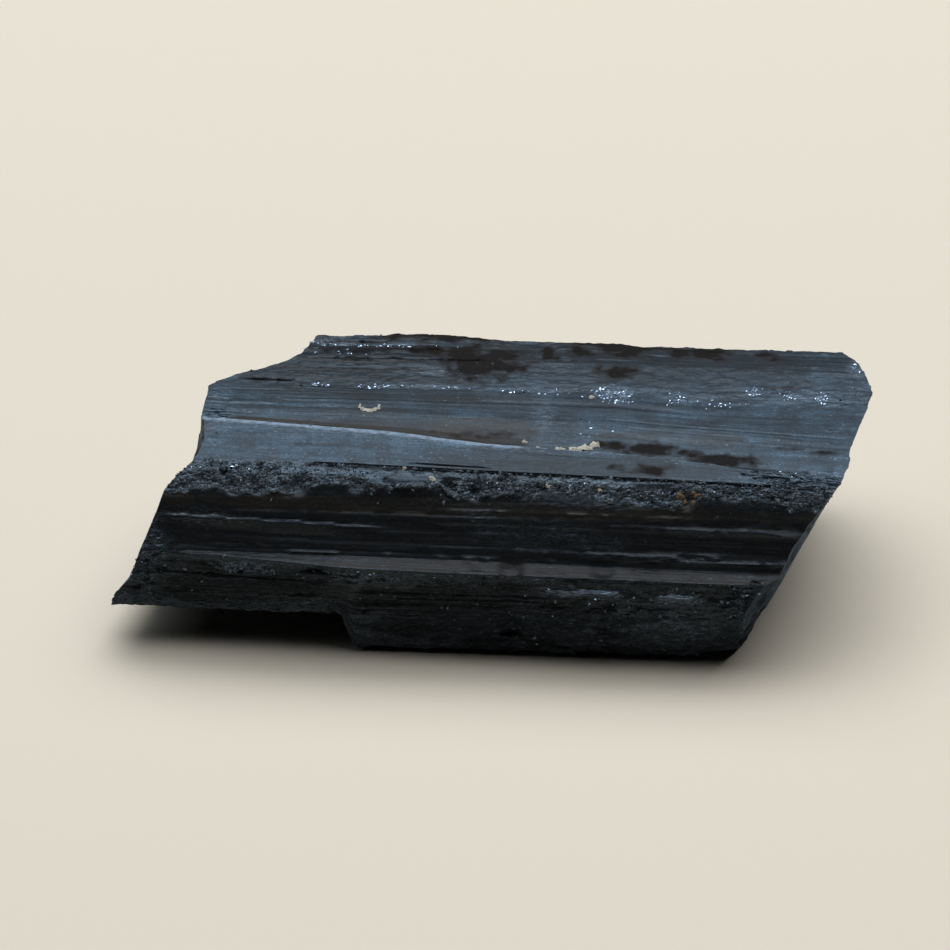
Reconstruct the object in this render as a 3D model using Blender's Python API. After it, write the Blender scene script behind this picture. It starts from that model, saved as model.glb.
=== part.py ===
"""A broken piece of black tourmaline (schorl), lying on its long side.

The crystal is one solid. Its long lines run along X, which is the crystal's own long axis, and they are
joined into a loop of long flat faces: the front with its ledge, the chipped ridge, the banded top, the
stepped back and the underside, of which two strips rest on the ground. Both ends are oblique breaks, stepped
where the laths that the crystal is made of snapped at different lengths. Lengths here are in millimetres.
"""

import math
import random

import bpy
import numpy as np
from mathutils import Vector, noise
from mathutils.geometry import delaunay_2d_cdt

MM = 0.001
NAME = "tourmaline_crystal"

# The middle of the crystal's base (x, y, z) in the tables below, which becomes the part's origin.
MIDDLE = (0.76, 0.31, 0.0)

# Driving sizes of the mesh: the columns along X, and how wide the rows are on each side of the loop.
COLUMNS = 48
TOP_ROW = 0.62
RIDGE_ROW = 0.45
BACK_ROW = 0.85
UNDER_ROW = 1.6

# Where along X the two ends' own rows are measured, to find how far each row reaches.
LEFT_END = -22.0
RIGHT_END = 23.0

# The long lines, in order round the loop: up the front, back over the top, down the back, then forward
# underneath. Each has the width of the rows from it to the next line, how rough that face is (0 smooth,
# 1 crumbly), and the points (x, y, z) that it runs through. z = 0 is the ground, and -Y is the front.
LONG_LINES = {
    "foot_front": (
        TOP_ROW,
        0.15,
        [
            (-27, -9.0, 2.8), (-9.9, -9.5, 2.8), (-9.1, -9.6, 0), (14.5, -9.35, 0), (17.5, -9.3, 0.4),
            (28, -9, 1.4),
        ],
    ),
    "foot_toe": (
        TOP_ROW,
        0.45,
        [
            (-27, -10, 2.9), (-9.9, -10.5, 3.1), (-9, -10.7, 0.5), (14.5, -10.55, 0.5), (17.5, -10.5, 1.1),
            (28, -10, 2.0),
        ],
    ),
    "lower_front": (
        TOP_ROW,
        0.4,
        [
            (-27, -10.7, 4.5), (-9.9, -11.3, 4.7), (-8.9, -11.5, 4.2), (0, -11.8, 4.5), (10, -12.1, 4.7),
            (17, -12.0, 4.5), (28, -11.4, 4.2),
        ],
    ),
    "ledge_outer": (
        TOP_ROW,
        0.1,
        [
            (-27, -10.4, 7.3), (-21.5, -10.45, 7.75), (-18.7, -10.75, 7.82), (-16.7, -10.95, 7.8),
            (-13.4, -11.15, 7.7), (-9.9, -11.4, 7.55), (-3.5, -11.4, 7.4), (8.5, -11.4, 7.3),
            (15.5, -11.4, 7.2), (28, -11.2, 7.2),
        ],
    ),
    "ledge_inner": (
        TOP_ROW,
        0.2,
        [
            (-27, -10.25, 7.5), (-21, -10.3, 7.87), (-10, -10.3, 7.83), (0, -10.3, 7.75), (10.5, -10.3, 7.6),
            (20, -10.3, 7.5), (28, -10.3, 7.4),
        ],
    ),
    "front_top": (RIDGE_ROW, 0.5, [(-27, -8.5, 10.65), (0, -8.35, 10.85), (28, -8.45, 10.7)]),
    "lip": (
        RIDGE_ROW,
        1.0,
        [
            (-24, -8.1, 11.2), (-19, -7.85, 11.64), (-13.5, -7.9, 11.5), (-12.2, -7.56, 12.05),
            (-5, -7.6, 12.05), (-2.7, -7.5, 12.2), (-2.1, -7.95, 11.45), (1.4, -7.7, 11.8),
            (7.4, -7.6, 12.05), (10.4, -7.7, 11.8), (13.3, -8.1, 11.25), (15.2, -7.65, 11.95),
            (17, -7.5, 12.15), (20, -7.7, 11.85), (23.4, -8.05, 11.3), (28, -8.1, 11.2),
        ],
    ),
    "crest": (
        RIDGE_ROW,
        0.9,
        [(-27, -6.9, 12.15), (-18, -6.7, 12.3), (0, -6.9, 12.5), (20, -7.1, 12.45), (28, -7.4, 12.2)],
    ),
    "band_front": (
        TOP_ROW,
        0.1,
        [(-27, -5.5, 12.65), (-10, -5.8, 12.7), (0, -6.25, 12.7), (10, -6.55, 12.7), (28, -7, 12.6)],
    ),
    "step_top": (
        RIDGE_ROW,
        0.1,
        [
            (-21, -0.85, 13.2), (-14, -1.5, 13.2), (-7, -2.1, 13.2), (0, -3.25, 13.15),
            (10, -4, 13.1), (16, -4.8, 13.0), (19, -5.35, 12.9), (28, -6.2, 12.7),
        ],
    ),
    "step_foot": (
        TOP_ROW,
        0.1,
        [
            (-21, -0.5, 12.9), (-14, -1.15, 12.85), (-7, -1.75, 12.8), (0, -2.85, 12.75),
            (16, -4.4, 12.7), (28, -5.6, 12.6),
        ],
    ),
    "mid_rib": (
        TOP_ROW,
        0.1,
        [(-21, 0.3, 13.2), (-11, 0.4, 13.25), (8, -0.2, 13.25), (16, -1.0, 13.2), (28, -1.9, 13.0)],
    ),
    "crease": (
        TOP_ROW,
        0.25,
        [(-21, 4, 13.05), (-10, 3.75, 13.15), (9, 4.1, 13.2), (16, 3.1, 13.15), (28, 3.4, 13.0)],
    ),
    "back_band": (TOP_ROW, 0.1, [(-17, 8.0, 13.15), (0, 8.2, 13.3), (28, 8.0, 13.15)]),
    "back_edge": (
        TOP_ROW,
        0.3,
        [
            (-14, 11.5, 12.9), (-8.3, 11.7, 12.9), (-7.8, 12.0, 12.9), (-4, 12.1, 12.9), (0.2, 11.55, 12.9),
            (8.6, 11.6, 12.9), (12.3, 11.0, 12.9), (13.1, 11.2, 12.9), (28, 11.3, 12.9),
        ],
    ),
    "back_round": (BACK_ROW, 0.15, [(-14, 12.1, 12.2), (28, 12.0, 12.3)]),
    "back_shelf": (BACK_ROW, 0.2, [(-18, 12.5, 9.2), (4, 12.6, 9.6), (28, 12.3, 9.3)]),
    "back_groove": (BACK_ROW, 0.2, [(-18, 11.9, 8.7), (4, 11.8, 9.1), (28, 12.0, 9.0)]),
    "back_mid": (BACK_ROW, 0.25, [(-18, 12.4, 7.4), (4, 12.5, 7.7), (28, 12.2, 7.5)]),
    "back_low": (BACK_ROW, 0.3, [(-18, 11.9, 3.4), (4, 12.2, 3.7), (28, 11.6, 3.6)]),
    "back_toe": (BACK_ROW, 0.3, [(-22, 10.4, 1.3), (4, 11.0, 0.9), (28, 10.4, 1.1)]),
    "rest_back": (UNDER_ROW, 0.0, [(-22, 9.2, 0.9), (-15, 9.6, 0), (20, 9.7, 0), (28, 9.3, 0.8)]),
    "rest_back_inner": (UNDER_ROW, 0.2, [(-22, 5.2, 1.0), (-15, 5.0, 0), (20, 5.2, 0), (28, 5.5, 0.8)]),
    "hollow_back": (UNDER_ROW, 0.3, [(-26, 4.0, 1.9), (-12, 4.0, 0.9), (28, 4.1, 1.0)]),
    "hollow_front": (
        UNDER_ROW,
        0.3,
        [(-27, -4.2, 2.5), (-10.5, -4.5, 2.2), (-9.2, -4.5, 0.9), (28, -4.4, 1.2)],
    ),
    "rest_front_inner": (
        UNDER_ROW,
        0.0,
        [(-27, -5.4, 2.7), (-9.9, -5.5, 2.7), (-9.1, -5.5, 0), (17, -5.4, 0), (28, -5.2, 0.9)],
    ),
}

# The two breaks, each through points (y, z, x).
LEFT_BREAK = [
    (12.3, 12.6, -13.2), (9.2, 12.9, -14.0), (7.6, 13.0, -14.8), (6.3, 13.0, -16.7), (5.8, 13.0, -17.9),
    (4.4, 13.1, -19.9), (3.6, 13.1, -20.6), (-0.4, 13.0, -20.6), (-4.6, 12.9, -20.1), (-6.3, 12.6, -20.9),
    (-7.9, 11.4, -22.5), (-8.7, 10.2, -22.9), (-9.6, 8.7, -23.6), (-10.6, 7.3, -24.3), (-10.8, 5.6, -24.8),
    (-10.6, 4.2, -26.0), (-10.0, 2.9, -26.3), (-5.0, 3.0, -25.0), (0, 7.5, -21.6), (0, 2.4, -23.2),
    (6.0, 7.5, -18.4), (12.4, 8.0, -14.8), (12.0, 4.0, -16.0), (9.8, 0.8, -18.0), (4.0, 1.2, -21.0),
    (-3.5, 10.8, -20.8), (1.0, 10.8, -20.7),
]
RIGHT_BREAK = [
    (12.0, 12.8, 24.2), (11.2, 12.9, 25.2), (10.3, 13.0, 26.0), (8.6, 13.1, 26.7), (5.2, 13.1, 27.4),
    (2.4, 13.2, 26.8), (0.8, 13.2, 26.35), (-1.8, 13.1, 25.9), (-4.0, 12.9, 25.7), (-6.2, 12.7, 25.1),
    (-7.8, 11.8, 24.1), (-8.6, 10.5, 22.9), (-9.5, 9.0, 21.9), (-10.7, 7.2, 21.0), (-11.8, 7.0, 19.3),
    (-11.5, 5.2, 18.8), (-11.1, 3.3, 18.7), (-10.3, 0.8, 17.5), (-8.5, 5.2, 20.9), (-8.0, 3.0, 20.1),
    (-7.5, 0.5, 18.9), (0, 7.5, 24.2), (0, 1.0, 20.5), (6.0, 7.5, 25.2), (12.2, 8.0, 24.4),
    (11.8, 4.0, 23.0), (9.6, 0.6, 21.6),
]
BREAK_SLACK = 0.15  # how far, in all, a break may pass from its points to run smoothly
BREAK_FADE = 2.2  # how far from an end the steps of its break still shift the columns
BREAK_GRID = 1.4
BREAK_GRID_RISE = BREAK_GRID * math.sqrt(3) / 2
STEP_CELL = 2.3  # the width of a snapped bundle of laths
STEP_HEIGHT = 0.42
STEP_SPREAD = 7.3  # turns a bundle's place into its own random height
BREAK_ROUGHNESS = 0.18
BREAK_GRAIN = 4.0  # lumps across a bundle

# The laths: long flat ribs and hollows that lie along the crystal's faces.
LATH_SEED = 11
LATH_COUNT = 90
LATH_WIDTH = (0.5, 2.2)
LATH_LENGTH = (9.0, 34.0)
LATH_START = (-30.0, 24.0)
LATH_HEIGHT = (0.07, 0.24)
LATH_TAPER = 1.2
LATH_EDGE = 0.16

# The pits of the ridge and the front, each (x, y, radius, depth).
PITS = [
    (-18.6, -6.6, 1.1, 0.5), (-12.9, -6.9, 1.2, 0.5), (1.6, -7.2, 1.3, 0.45), (13.6, -7.9, 1.3, 0.4),
    (-2.4, -7.4, 1.2, 0.4), (8.6, -10.4, 1.6, 0.35), (-17.6, -11.3, 1.5, 0.4), (2.2, -11.0, 1.6, 0.35),
]

CRUMBLE = 0.24
CRUMBLE_SIZE = 1.1
CRUMBLE_SLICE = 3.7


def along(points, x):
    """The y and z at x of a long line."""
    table = np.array(points, float)
    return np.interp(x, table[:, 0], table[:, 1]), np.interp(x, table[:, 0], table[:, 2])


def rows_of_lines():
    """Each row round the loop as (its line's number, its share of the way to the next, its roughness)."""
    lines = list(LONG_LINES.values())
    rows = []
    for number, (width, rough, points) in enumerate(lines):
        following = lines[(number + 1) % len(lines)][2]
        here = np.array(along(points, 0.0))
        there = np.array(along(following, 0.0))
        count = max(1, round(float(np.linalg.norm(there - here)) / width))
        rows += [(number, step / count, rough) for step in range(count)]
    return rows


def loop_at(row, x):
    """The point (y, z) of a row at each x, before any relief."""
    number, share, _ = row
    lines = list(LONG_LINES.values())
    y0, z0 = along(lines[number][2], x)
    y1, z1 = along(lines[(number + 1) % len(lines)][2], x)
    return y0 + (y1 - y0) * share, z0 + (z1 - z0) * share


def smooth_break(points):
    """The smooth surface through a break's points: how much each point's cone and a plane weigh in it."""
    table = np.array(points)
    places = table[:, :2]
    spread = np.linalg.norm(places[:, None] - places[None], axis=-1) - BREAK_SLACK * np.eye(len(table))
    plane = np.column_stack([np.ones(len(table)), places])
    known = np.block([[spread, plane], [plane.T, np.zeros((3, 3))]])
    return np.linalg.solve(known, np.concatenate([table[:, 2], np.zeros(3)]))


def break_plane(points, y, z):
    """The x of a break at (y, z), before its steps."""
    weights = smooth_break(points)
    total = weights[-3] + weights[-2] * y + weights[-1] * z
    for weight, (py, pz, _) in zip(weights, points):
        total += weight * math.hypot(y - py, z - pz)
    return float(total)


def break_steps(side, y, z):
    """How far the break stands out at (y, z), where whole bundles of laths snapped together."""
    place = Vector((y / STEP_CELL, z / STEP_CELL, 10.0 * side))
    bundle = noise.voronoi(place)[1][0]
    lump = noise.noise(place * BREAK_GRAIN)
    return STEP_HEIGHT * noise.cell(bundle * STEP_SPREAD) + BREAK_ROUGHNESS * lump


def laths():
    """Each lath as (share of the way round the loop, half width, first x, last x, height)."""
    chance = random.Random(LATH_SEED)
    made = []
    for _ in range(LATH_COUNT):
        width = chance.uniform(*LATH_WIDTH)
        length = chance.uniform(*LATH_LENGTH)
        start = chance.uniform(*LATH_START)
        height = chance.uniform(*LATH_HEIGHT) * chance.choice((-1.0, 1.0))
        made.append((chance.random(), width / 2, start, start + length, height))
    return made


def ramp(value, width):
    """0 to 1 as value goes from 0 to width."""
    return np.clip(value / width, 0.0, 1.0)


def relief(x, distance, perimeter, rough):
    """How far the face stands out at each x of a row: the laths that cross it, and its crumbling."""
    height = np.zeros_like(x)
    for share, half, first, last, lift in laths():
        off = abs((distance - share * perimeter + perimeter / 2) % perimeter - perimeter / 2)
        if off < half:
            across = min(1.0, (half - off) / LATH_EDGE)
            height += lift * across * np.minimum(ramp(x - first, LATH_TAPER), ramp(last - x, LATH_TAPER))
    for column, place in enumerate(x):
        here = Vector((place / CRUMBLE_SIZE, distance / CRUMBLE_SIZE, CRUMBLE_SLICE))
        height[column] += CRUMBLE * rough * noise.noise(here)
    return height


def pit_depth(x, y):
    """How deep the pits are at each (x, y) of the front and the ridge."""
    depth = np.zeros_like(x)
    for pit_x, pit_y, radius, deepest in PITS:
        off = np.hypot(x - pit_x, y - pit_y) / radius
        depth = np.maximum(depth, deepest * np.clip(1.0 - off, 0.0, 1.0))
    return depth


def reach(side, points, row, end):
    """The x at which a row meets a break, without and with the break's steps."""
    y, z = loop_at(row, end)
    plain = break_plane(points, y, z)
    return plain, break_steps(side, y, z)


def row_places(row):
    """The x of each column of a row: even steps from break to break, shifted at the ends by their steps."""
    left, left_step = reach(-1, LEFT_BREAK, row, LEFT_END)
    right, right_step = reach(1, RIGHT_BREAK, row, RIGHT_END)
    x = np.linspace(left, right, COLUMNS)
    return x + left_step * (1 - ramp(x - left, BREAK_FADE)) + right_step * (1 - ramp(right - x, BREAK_FADE))


def outward_of(grid):
    """The direction (y, z) that faces out of the loop at each point of the grid."""
    across = np.roll(grid, -1, axis=0) - np.roll(grid, 1, axis=0)
    outward = np.stack([-across[..., 2], across[..., 1]], axis=-1)
    return outward / np.linalg.norm(outward, axis=-1, keepdims=True)


def distances_round(rows):
    """How far round the loop each row is, and the whole way round."""
    middle = np.array([loop_at(row, 0.0) for row in rows])
    steps = np.linalg.norm(np.roll(middle, -1, axis=0) - middle, axis=1)
    return np.concatenate([[0.0], np.cumsum(steps)[:-1]]), float(steps.sum())


def skin():
    """The points of the long faces: a row for each step round the loop, a column for each step along X."""
    rows = rows_of_lines()
    distances, perimeter = distances_round(rows)
    grid = np.empty((len(rows), COLUMNS, 3))
    for index, row in enumerate(rows):
        grid[index, :, 0] = row_places(row)
        grid[index, :, 1], grid[index, :, 2] = loop_at(row, grid[index, :, 0])
    outward = outward_of(grid)
    for index, (_, _, rough) in enumerate(rows):
        if rough:
            lift = relief(grid[index, :, 0], distances[index], perimeter, rough)
            lift -= pit_depth(grid[index, :, 0], grid[index, :, 1])
            grid[index, :, 1:] += outward[index] * lift[:, None]
    grid[..., 2] = np.maximum(grid[..., 2], 0.0)
    return grid


def inside_loop(y, z, loop):
    """Whether (y, z) is inside the loop, and at least half a grid step from it."""
    ahead = np.roll(loop, -1, axis=0)
    crosses = (loop[:, 1] > z) != (ahead[:, 1] > z)
    rise = np.where(crosses, ahead[:, 1] - loop[:, 1], 1.0)
    at = loop[:, 0] + (z - loop[:, 1]) / rise * (ahead[:, 0] - loop[:, 0])
    near = np.hypot(loop[:, 0] - y, loop[:, 1] - z).min()
    return np.count_nonzero(crosses & (y < at)) % 2 == 1 and near > BREAK_GRID / 2


def places_inside(loop):
    """The points of a grid of triangles that lie inside the loop."""
    low = loop.min(axis=0)
    high = loop.max(axis=0)
    found = []
    for number, z in enumerate(np.arange(low[1], high[1], BREAK_GRID_RISE)):
        offset = (number % 2) * BREAK_GRID / 2
        for y in np.arange(low[0] + offset, high[0], BREAK_GRID):
            if inside_loop(y, z, loop):
                found.append(Vector((y, z)))
    return found


def broken_end(side, rim, points):
    """The points added inside one end's rim, and the faces that close the end."""
    flat = [Vector((p[1], p[2])) for p in rim]
    inside = places_inside(rim[:, 1:])
    made = delaunay_2d_cdt(flat + inside, [], [list(range(len(flat)))], 1, 1e-6)
    added = []
    for place in inside:
        x = break_plane(points, place.x, place.y) + break_steps(side, place.x, place.y)
        added.append((x, place.x, place.y))
    sources = [origin[0] for origin in made[3]]
    faces = [[sources[corner] for corner in face] for face in made[2]]
    return added, faces


def side_faces(rows, columns):
    """The faces of the skin, each between two rows and two columns."""
    faces = []
    for row in range(rows):
        here = row * columns
        above = (row + 1) % rows * columns
        for column in range(columns - 1):
            faces.append((here + column, here + column + 1, above + column + 1, above + column))
    return faces


def crystal_mesh():
    """The whole crystal as one closed mesh, standing with the middle of its base at the origin."""
    grid = skin()
    rows, columns = grid.shape[:2]
    points = [tuple(p) for p in grid.reshape(-1, 3)]
    faces = side_faces(rows, columns)
    for side, column, table in ((-1, 0, LEFT_BREAK), (1, columns - 1, RIGHT_BREAK)):
        added, closing = broken_end(side, grid[:, column], table)
        numbers = [row * columns + column for row in range(rows)]
        numbers += range(len(points), len(points) + len(added))
        points += added
        for face in closing:
            corners = [numbers[corner] for corner in face]
            faces.append(corners if side > 0 else corners[::-1])
    mesh = bpy.data.meshes.new(NAME)
    mesh.from_pydata(((np.array(points) - MIDDLE) * MM).tolist(), [], faces)
    mesh.validate()
    return mesh


def schorl():
    """Black tourmaline: nearly black, with a dull glassy shine."""
    material = bpy.data.materials.new("schorl")
    material.use_nodes = True
    shader = material.node_tree.nodes["Principled BSDF"]
    shader.inputs["Base Color"].default_value = (0.012, 0.013, 0.015, 1.0)
    shader.inputs["Roughness"].default_value = 0.42
    shader.inputs["Metallic"].default_value = 0.0
    shader.inputs["IOR"].default_value = 1.64
    return material


def main():
    for old in list(bpy.data.objects):
        bpy.data.objects.remove(old, do_unlink=True)
    crystal = bpy.data.objects.new(NAME, crystal_mesh())
    crystal.data.materials.append(schorl())
    bpy.context.scene.collection.objects.link(crystal)


main()
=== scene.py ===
"""A broken piece of black tourmaline, as it looks: the fine mesh, materials, floor, lights and camera.

The crystal's long faces are swept from the same long lines as the solid that they replace, with many more
rows and columns, and then carry laths, striations, grooves, grains and chips as real relief. Lengths in the
tables are in millimetres, from the same origin as the solid's own tables.
"""

import math
import random

import bpy
import numpy as np
from mathutils import Matrix, Vector, noise
from mathutils.geometry import delaunay_2d_cdt


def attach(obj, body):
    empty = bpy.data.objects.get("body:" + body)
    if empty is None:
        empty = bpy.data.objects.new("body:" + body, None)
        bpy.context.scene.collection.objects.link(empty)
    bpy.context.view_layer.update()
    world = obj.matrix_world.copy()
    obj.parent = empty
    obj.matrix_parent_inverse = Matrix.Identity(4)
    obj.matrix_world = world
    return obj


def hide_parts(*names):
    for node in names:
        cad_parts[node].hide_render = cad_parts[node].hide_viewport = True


MM = 0.001
NODE = "tourmaline_crystal"
MIDDLE = (0.76, 0.31, 0.0)  # the middle of the crystal's base (x, y, z) in the tables

# How fine the mesh is: its columns along X, the widths of its rows, and the triangles of the breaks.
COLUMNS = 206
TOP_ROW = 0.098
RIDGE_ROW = 0.085
BACK_ROW = 0.26
UNDER_ROW = 0.7
BREAK_GRID = 0.3
BREAK_GRID_RISE = BREAK_GRID * math.sqrt(3) / 2
SHARP_ANGLE = math.radians(38)
SAME_PLACE = 1e-7  # points of a break that are closer than this are one

# Where along X the two ends' own rows are measured, to find how far each row reaches.
LEFT_END = -22.0
RIGHT_END = 23.0

# The long lines, in order round the loop: up the front, back over the top, down the back, then forward
# underneath. Each has the width of the rows from it to the next line, how crumbly the face is along it (0 is
# smooth and 1 crumbly, and a face of exactly 0 lies on the ground), and the points (x, y, z) that it runs
# through. z = 0 is the ground, and -Y is the front.
LONG_LINES = {
    "foot_front": (TOP_ROW, 0.3, [
        (-27, -9, 2.8), (-9.9, -9.5, 2.8), (-9.1, -9.6, 0), (14.5, -9.35, 0), (17.5, -9.3, 0.4),
        (28, -9, 1.4),
    ]),
    "foot_toe": (TOP_ROW, 0.45, [
        (-27, -10, 2.9), (-9.9, -10.5, 3.1), (-9, -10.7, 0.5), (14.5, -10.55, 0.5), (17.5, -10.5, 1.1),
        (28, -10, 2),
    ]),
    "lower_front": (TOP_ROW, 0.3, [
        (-27, -10.7, 4.5), (-9.9, -11.3, 4.7), (-8.9, -11.5, 4.2), (0, -11.8, 4.5), (10, -12.1, 4.7),
        (17, -12, 4.5), (28, -11.4, 4.2),
    ]),
    "ledge_outer": (TOP_ROW, 0.12, [
        (-27, -10.4, 7.3), (-21.5, -10.45, 7.75), (-18.7, -10.75, 7.82), (-16.7, -10.95, 7.8),
        (-13.4, -11.15, 7.7), (-9.9, -11.4, 7.55), (-3.5, -11.4, 7.4), (8.5, -11.4, 7.3), (15.5, -11.4, 7.2),
        (28, -11.2, 7.2),
    ]),
    "ledge_inner": (TOP_ROW, 0.06, [
        (-27, -10.25, 7.5), (-21, -10.3, 7.87), (-10, -10.3, 7.83), (0, -10.3, 7.75), (10.5, -10.3, 7.6),
        (20, -10.3, 7.5), (28, -10.3, 7.4),
    ]),
    "front_top": (RIDGE_ROW, 0.1, [(-27, -8.5, 10.65), (0, -8.35, 10.85), (28, -8.45, 10.7)]),
    "lip": (RIDGE_ROW, 1.0, [
        (-24, -8.1, 11.2), (-19, -7.85, 11.64), (-13.5, -7.9, 11.5), (-12.2, -7.56, 12.05),
        (-5, -7.6, 12.05), (-2.7, -7.5, 12.2), (-2.1, -7.95, 11.45), (1.4, -7.7, 11.8), (7.4, -7.6, 12.05),
        (10.4, -7.7, 11.8), (13.3, -8.1, 11.25), (15.2, -7.65, 11.95), (17, -7.5, 12.15), (20, -7.7, 11.85),
        (23.4, -8.05, 11.3), (28, -8.1, 11.2),
    ]),
    "crest": (RIDGE_ROW, 0.6, [
        (-27, -6.9, 12.15), (-18, -6.7, 12.3), (0, -6.9, 12.5), (20, -7.1, 12.45), (28, -7.4, 12.2),
    ]),
    "band_front": (TOP_ROW, 0.06, [
        (-27, -5.5, 12.65), (-10, -5.8, 12.7), (0, -6.25, 12.7), (10, -6.55, 12.7), (28, -7, 12.6),
    ]),
    "step_top": (RIDGE_ROW, 0.04, [
        (-21, -0.85, 13.2), (-14, -1.5, 13.2), (-7, -2.1, 13.2), (0, -3.25, 13.15), (10, -4, 13.1),
        (16, -4.8, 13), (19, -5.35, 12.9), (28, -6.2, 12.7),
    ]),
    "step_foot": (TOP_ROW, 0.05, [
        (-21, -0.5, 12.9), (-14, -1.15, 12.85), (-7, -1.75, 12.8), (0, -2.85, 12.75), (16, -4.4, 12.7),
        (28, -5.6, 12.6),
    ]),
    "mid_rib": (TOP_ROW, 0.04, [
        (-21, 0.3, 13.2), (-11, 0.4, 13.25), (8, -0.2, 13.25), (16, -1, 13.2), (28, -1.9, 13),
    ]),
    "crease": (TOP_ROW, 0.22, [
        (-21, 4, 13.05), (-10, 3.75, 13.15), (9, 4.1, 13.2), (16, 3.1, 13.15), (28, 3.4, 13),
    ]),
    "back_band": (TOP_ROW, 0.06, [(-17, 8.0, 13.15), (0, 8.2, 13.3), (28, 8.0, 13.15)]),
    "back_edge": (TOP_ROW, 0.2, [
        (-14, 11.5, 12.9), (-8.3, 11.7, 12.9), (-7.8, 12, 12.9), (-4, 12.1, 12.9), (0.2, 11.55, 12.9),
        (8.6, 11.6, 12.9), (12.3, 11, 12.9), (13.1, 11.2, 12.9), (28, 11.3, 12.9),
    ]),
    "back_round": (BACK_ROW, 0.15, [(-14, 12.1, 12.2), (28, 12.0, 12.3)]),
    "back_shelf": (BACK_ROW, 0.2, [(-18, 12.5, 9.2), (4, 12.6, 9.6), (28, 12.3, 9.3)]),
    "back_groove": (BACK_ROW, 0.3, [(-18, 11.9, 8.7), (4, 11.8, 9.1), (28, 12.0, 9.0)]),
    "back_mid": (BACK_ROW, 0.15, [(-18, 12.4, 7.4), (4, 12.5, 7.7), (28, 12.2, 7.5)]),
    "back_low": (BACK_ROW, 0.25, [(-18, 11.9, 3.4), (4, 12.2, 3.7), (28, 11.6, 3.6)]),
    "back_toe": (BACK_ROW, 0.4, [(-22, 10.4, 1.3), (4, 11.0, 0.9), (28, 10.4, 1.1)]),
    "rest_back": (UNDER_ROW, 0.0, [(-22, 9.2, 0.9), (-15, 9.6, 0), (20, 9.7, 0), (28, 9.3, 0.8)]),
    "rest_back_inner": (UNDER_ROW, 0.2, [(-22, 5.2, 1.0), (-15, 5.0, 0), (20, 5.2, 0), (28, 5.5, 0.8)]),
    "hollow_back": (UNDER_ROW, 0.3, [(-26, 4.0, 1.9), (-12, 4.0, 0.9), (28, 4.1, 1.0)]),
    "hollow_front": (UNDER_ROW, 0.3, [
        (-27, -4.2, 2.5), (-10.5, -4.5, 2.2), (-9.2, -4.5, 0.9), (28, -4.4, 1.2),
    ]),
    "rest_front_inner": (UNDER_ROW, 0.0, [
        (-27, -5.4, 2.7), (-9.9, -5.5, 2.7), (-9.1, -5.5, 0), (17, -5.4, 0), (28, -5.2, 0.9),
    ]),
}
LINE_NAMES = list(LONG_LINES)
LINES = list(LONG_LINES.values())

# The two breaks, each through points (y, z, x).
LEFT_BREAK = [
    (12.3, 12.6, -13.2), (9.2, 12.9, -14), (7.6, 13, -14.8), (6.3, 13, -16.7), (5.8, 13, -17.9),
    (4.4, 13.1, -19.9), (3.6, 13.1, -20.6), (-0.4, 13, -20.6), (-4.6, 12.9, -20.1), (-6.3, 12.6, -20.9),
    (-7.9, 11.4, -22.5), (-8.7, 10.2, -22.9), (-9.6, 8.7, -23.6), (-10.6, 7.3, -24.3), (-10.8, 5.6, -24.8),
    (-10.6, 4.2, -26), (-10, 2.9, -26.3), (-5, 3, -25), (0, 7.5, -21.6), (0, 2.4, -23.2), (6, 7.5, -18.4),
    (12.4, 8, -14.8), (12, 4, -16), (9.8, 0.8, -18), (4, 1.2, -21), (-3.5, 10.8, -20.8), (1, 10.8, -20.7),
]
RIGHT_BREAK = [
    (12, 12.8, 24.2), (11.2, 12.9, 25.2), (10.3, 13, 26), (8.6, 13.1, 26.7), (5.2, 13.1, 27.4),
    (2.4, 13.2, 26.8), (0.8, 13.2, 26.35), (-1.8, 13.1, 25.9), (-4, 12.9, 25.7), (-6.2, 12.7, 25.1),
    (-7.8, 11.8, 24.1), (-8.6, 10.5, 22.9), (-9.5, 9, 21.9), (-10.7, 7.2, 21), (-11.8, 7, 19.3),
    (-11.5, 5.2, 18.8), (-11.1, 3.3, 18.7), (-10.3, 0.8, 17.5), (-8.5, 5.2, 20.9), (-8, 3, 20.1),
    (-7.5, 0.5, 18.9), (0, 7.5, 24.2), (0, 1, 20.5), (6, 7.5, 25.2), (12.2, 8, 24.4), (11.8, 4, 23),
    (9.6, 0.6, 21.6),
]
BREAK_SLACK = 0.15  # how far, in all, a break may pass from its points to run smoothly
BREAK_FADE = 1.6  # how far from an end the steps of its break still shift the columns

# The steps of a break, from whole bundles of laths down to single ones: (cell width, height).
BREAK_STEPS = [(2.3, 0.42), (1.05, 0.3), (0.5, 0.16)]
RIM_SHARE = 0.28  # how much of the steps is left at the rim, which is worn
RIM_WIDTH = 2.4
STEP_LEVEL = 0.25  # how high the steps lie on average, in their own heights
STEP_SPREAD = 7.3  # turns a grain's place into its own random height and slope
FACET_LIFT = (0.5, 1.6)  # how much that height and that slope count
BREAK_ROUGHNESS = 0.18
BREAK_INSET = 0.35  # how far in the steps lie, so that none stands out past the rim
BREAK_GRAIN = 4.0 / 2.3  # lumps of the roughness in a millimetre
BREAK_SLICE = 10.0

# Laths, the long flat ribs and hollows along the faces: broad ones, the same as the solid's, and fine ones.
# (seed, count, widths, lengths, heights, how long their ends slope, how wide their sides do).
LATHS = [
    (11, 90, (0.5, 2.2), (9.0, 34.0), (0.07, 0.24), 1.2, 0.16),
    (29, 900, (0.12, 0.55), (2.5, 26.0), (0.015, 0.06), 0.5, 0.07),
]
LATH_START = (-30.0, 24.0)
END_TAPER = 1.2  # how long the ends of grooves and streaks run out

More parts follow.
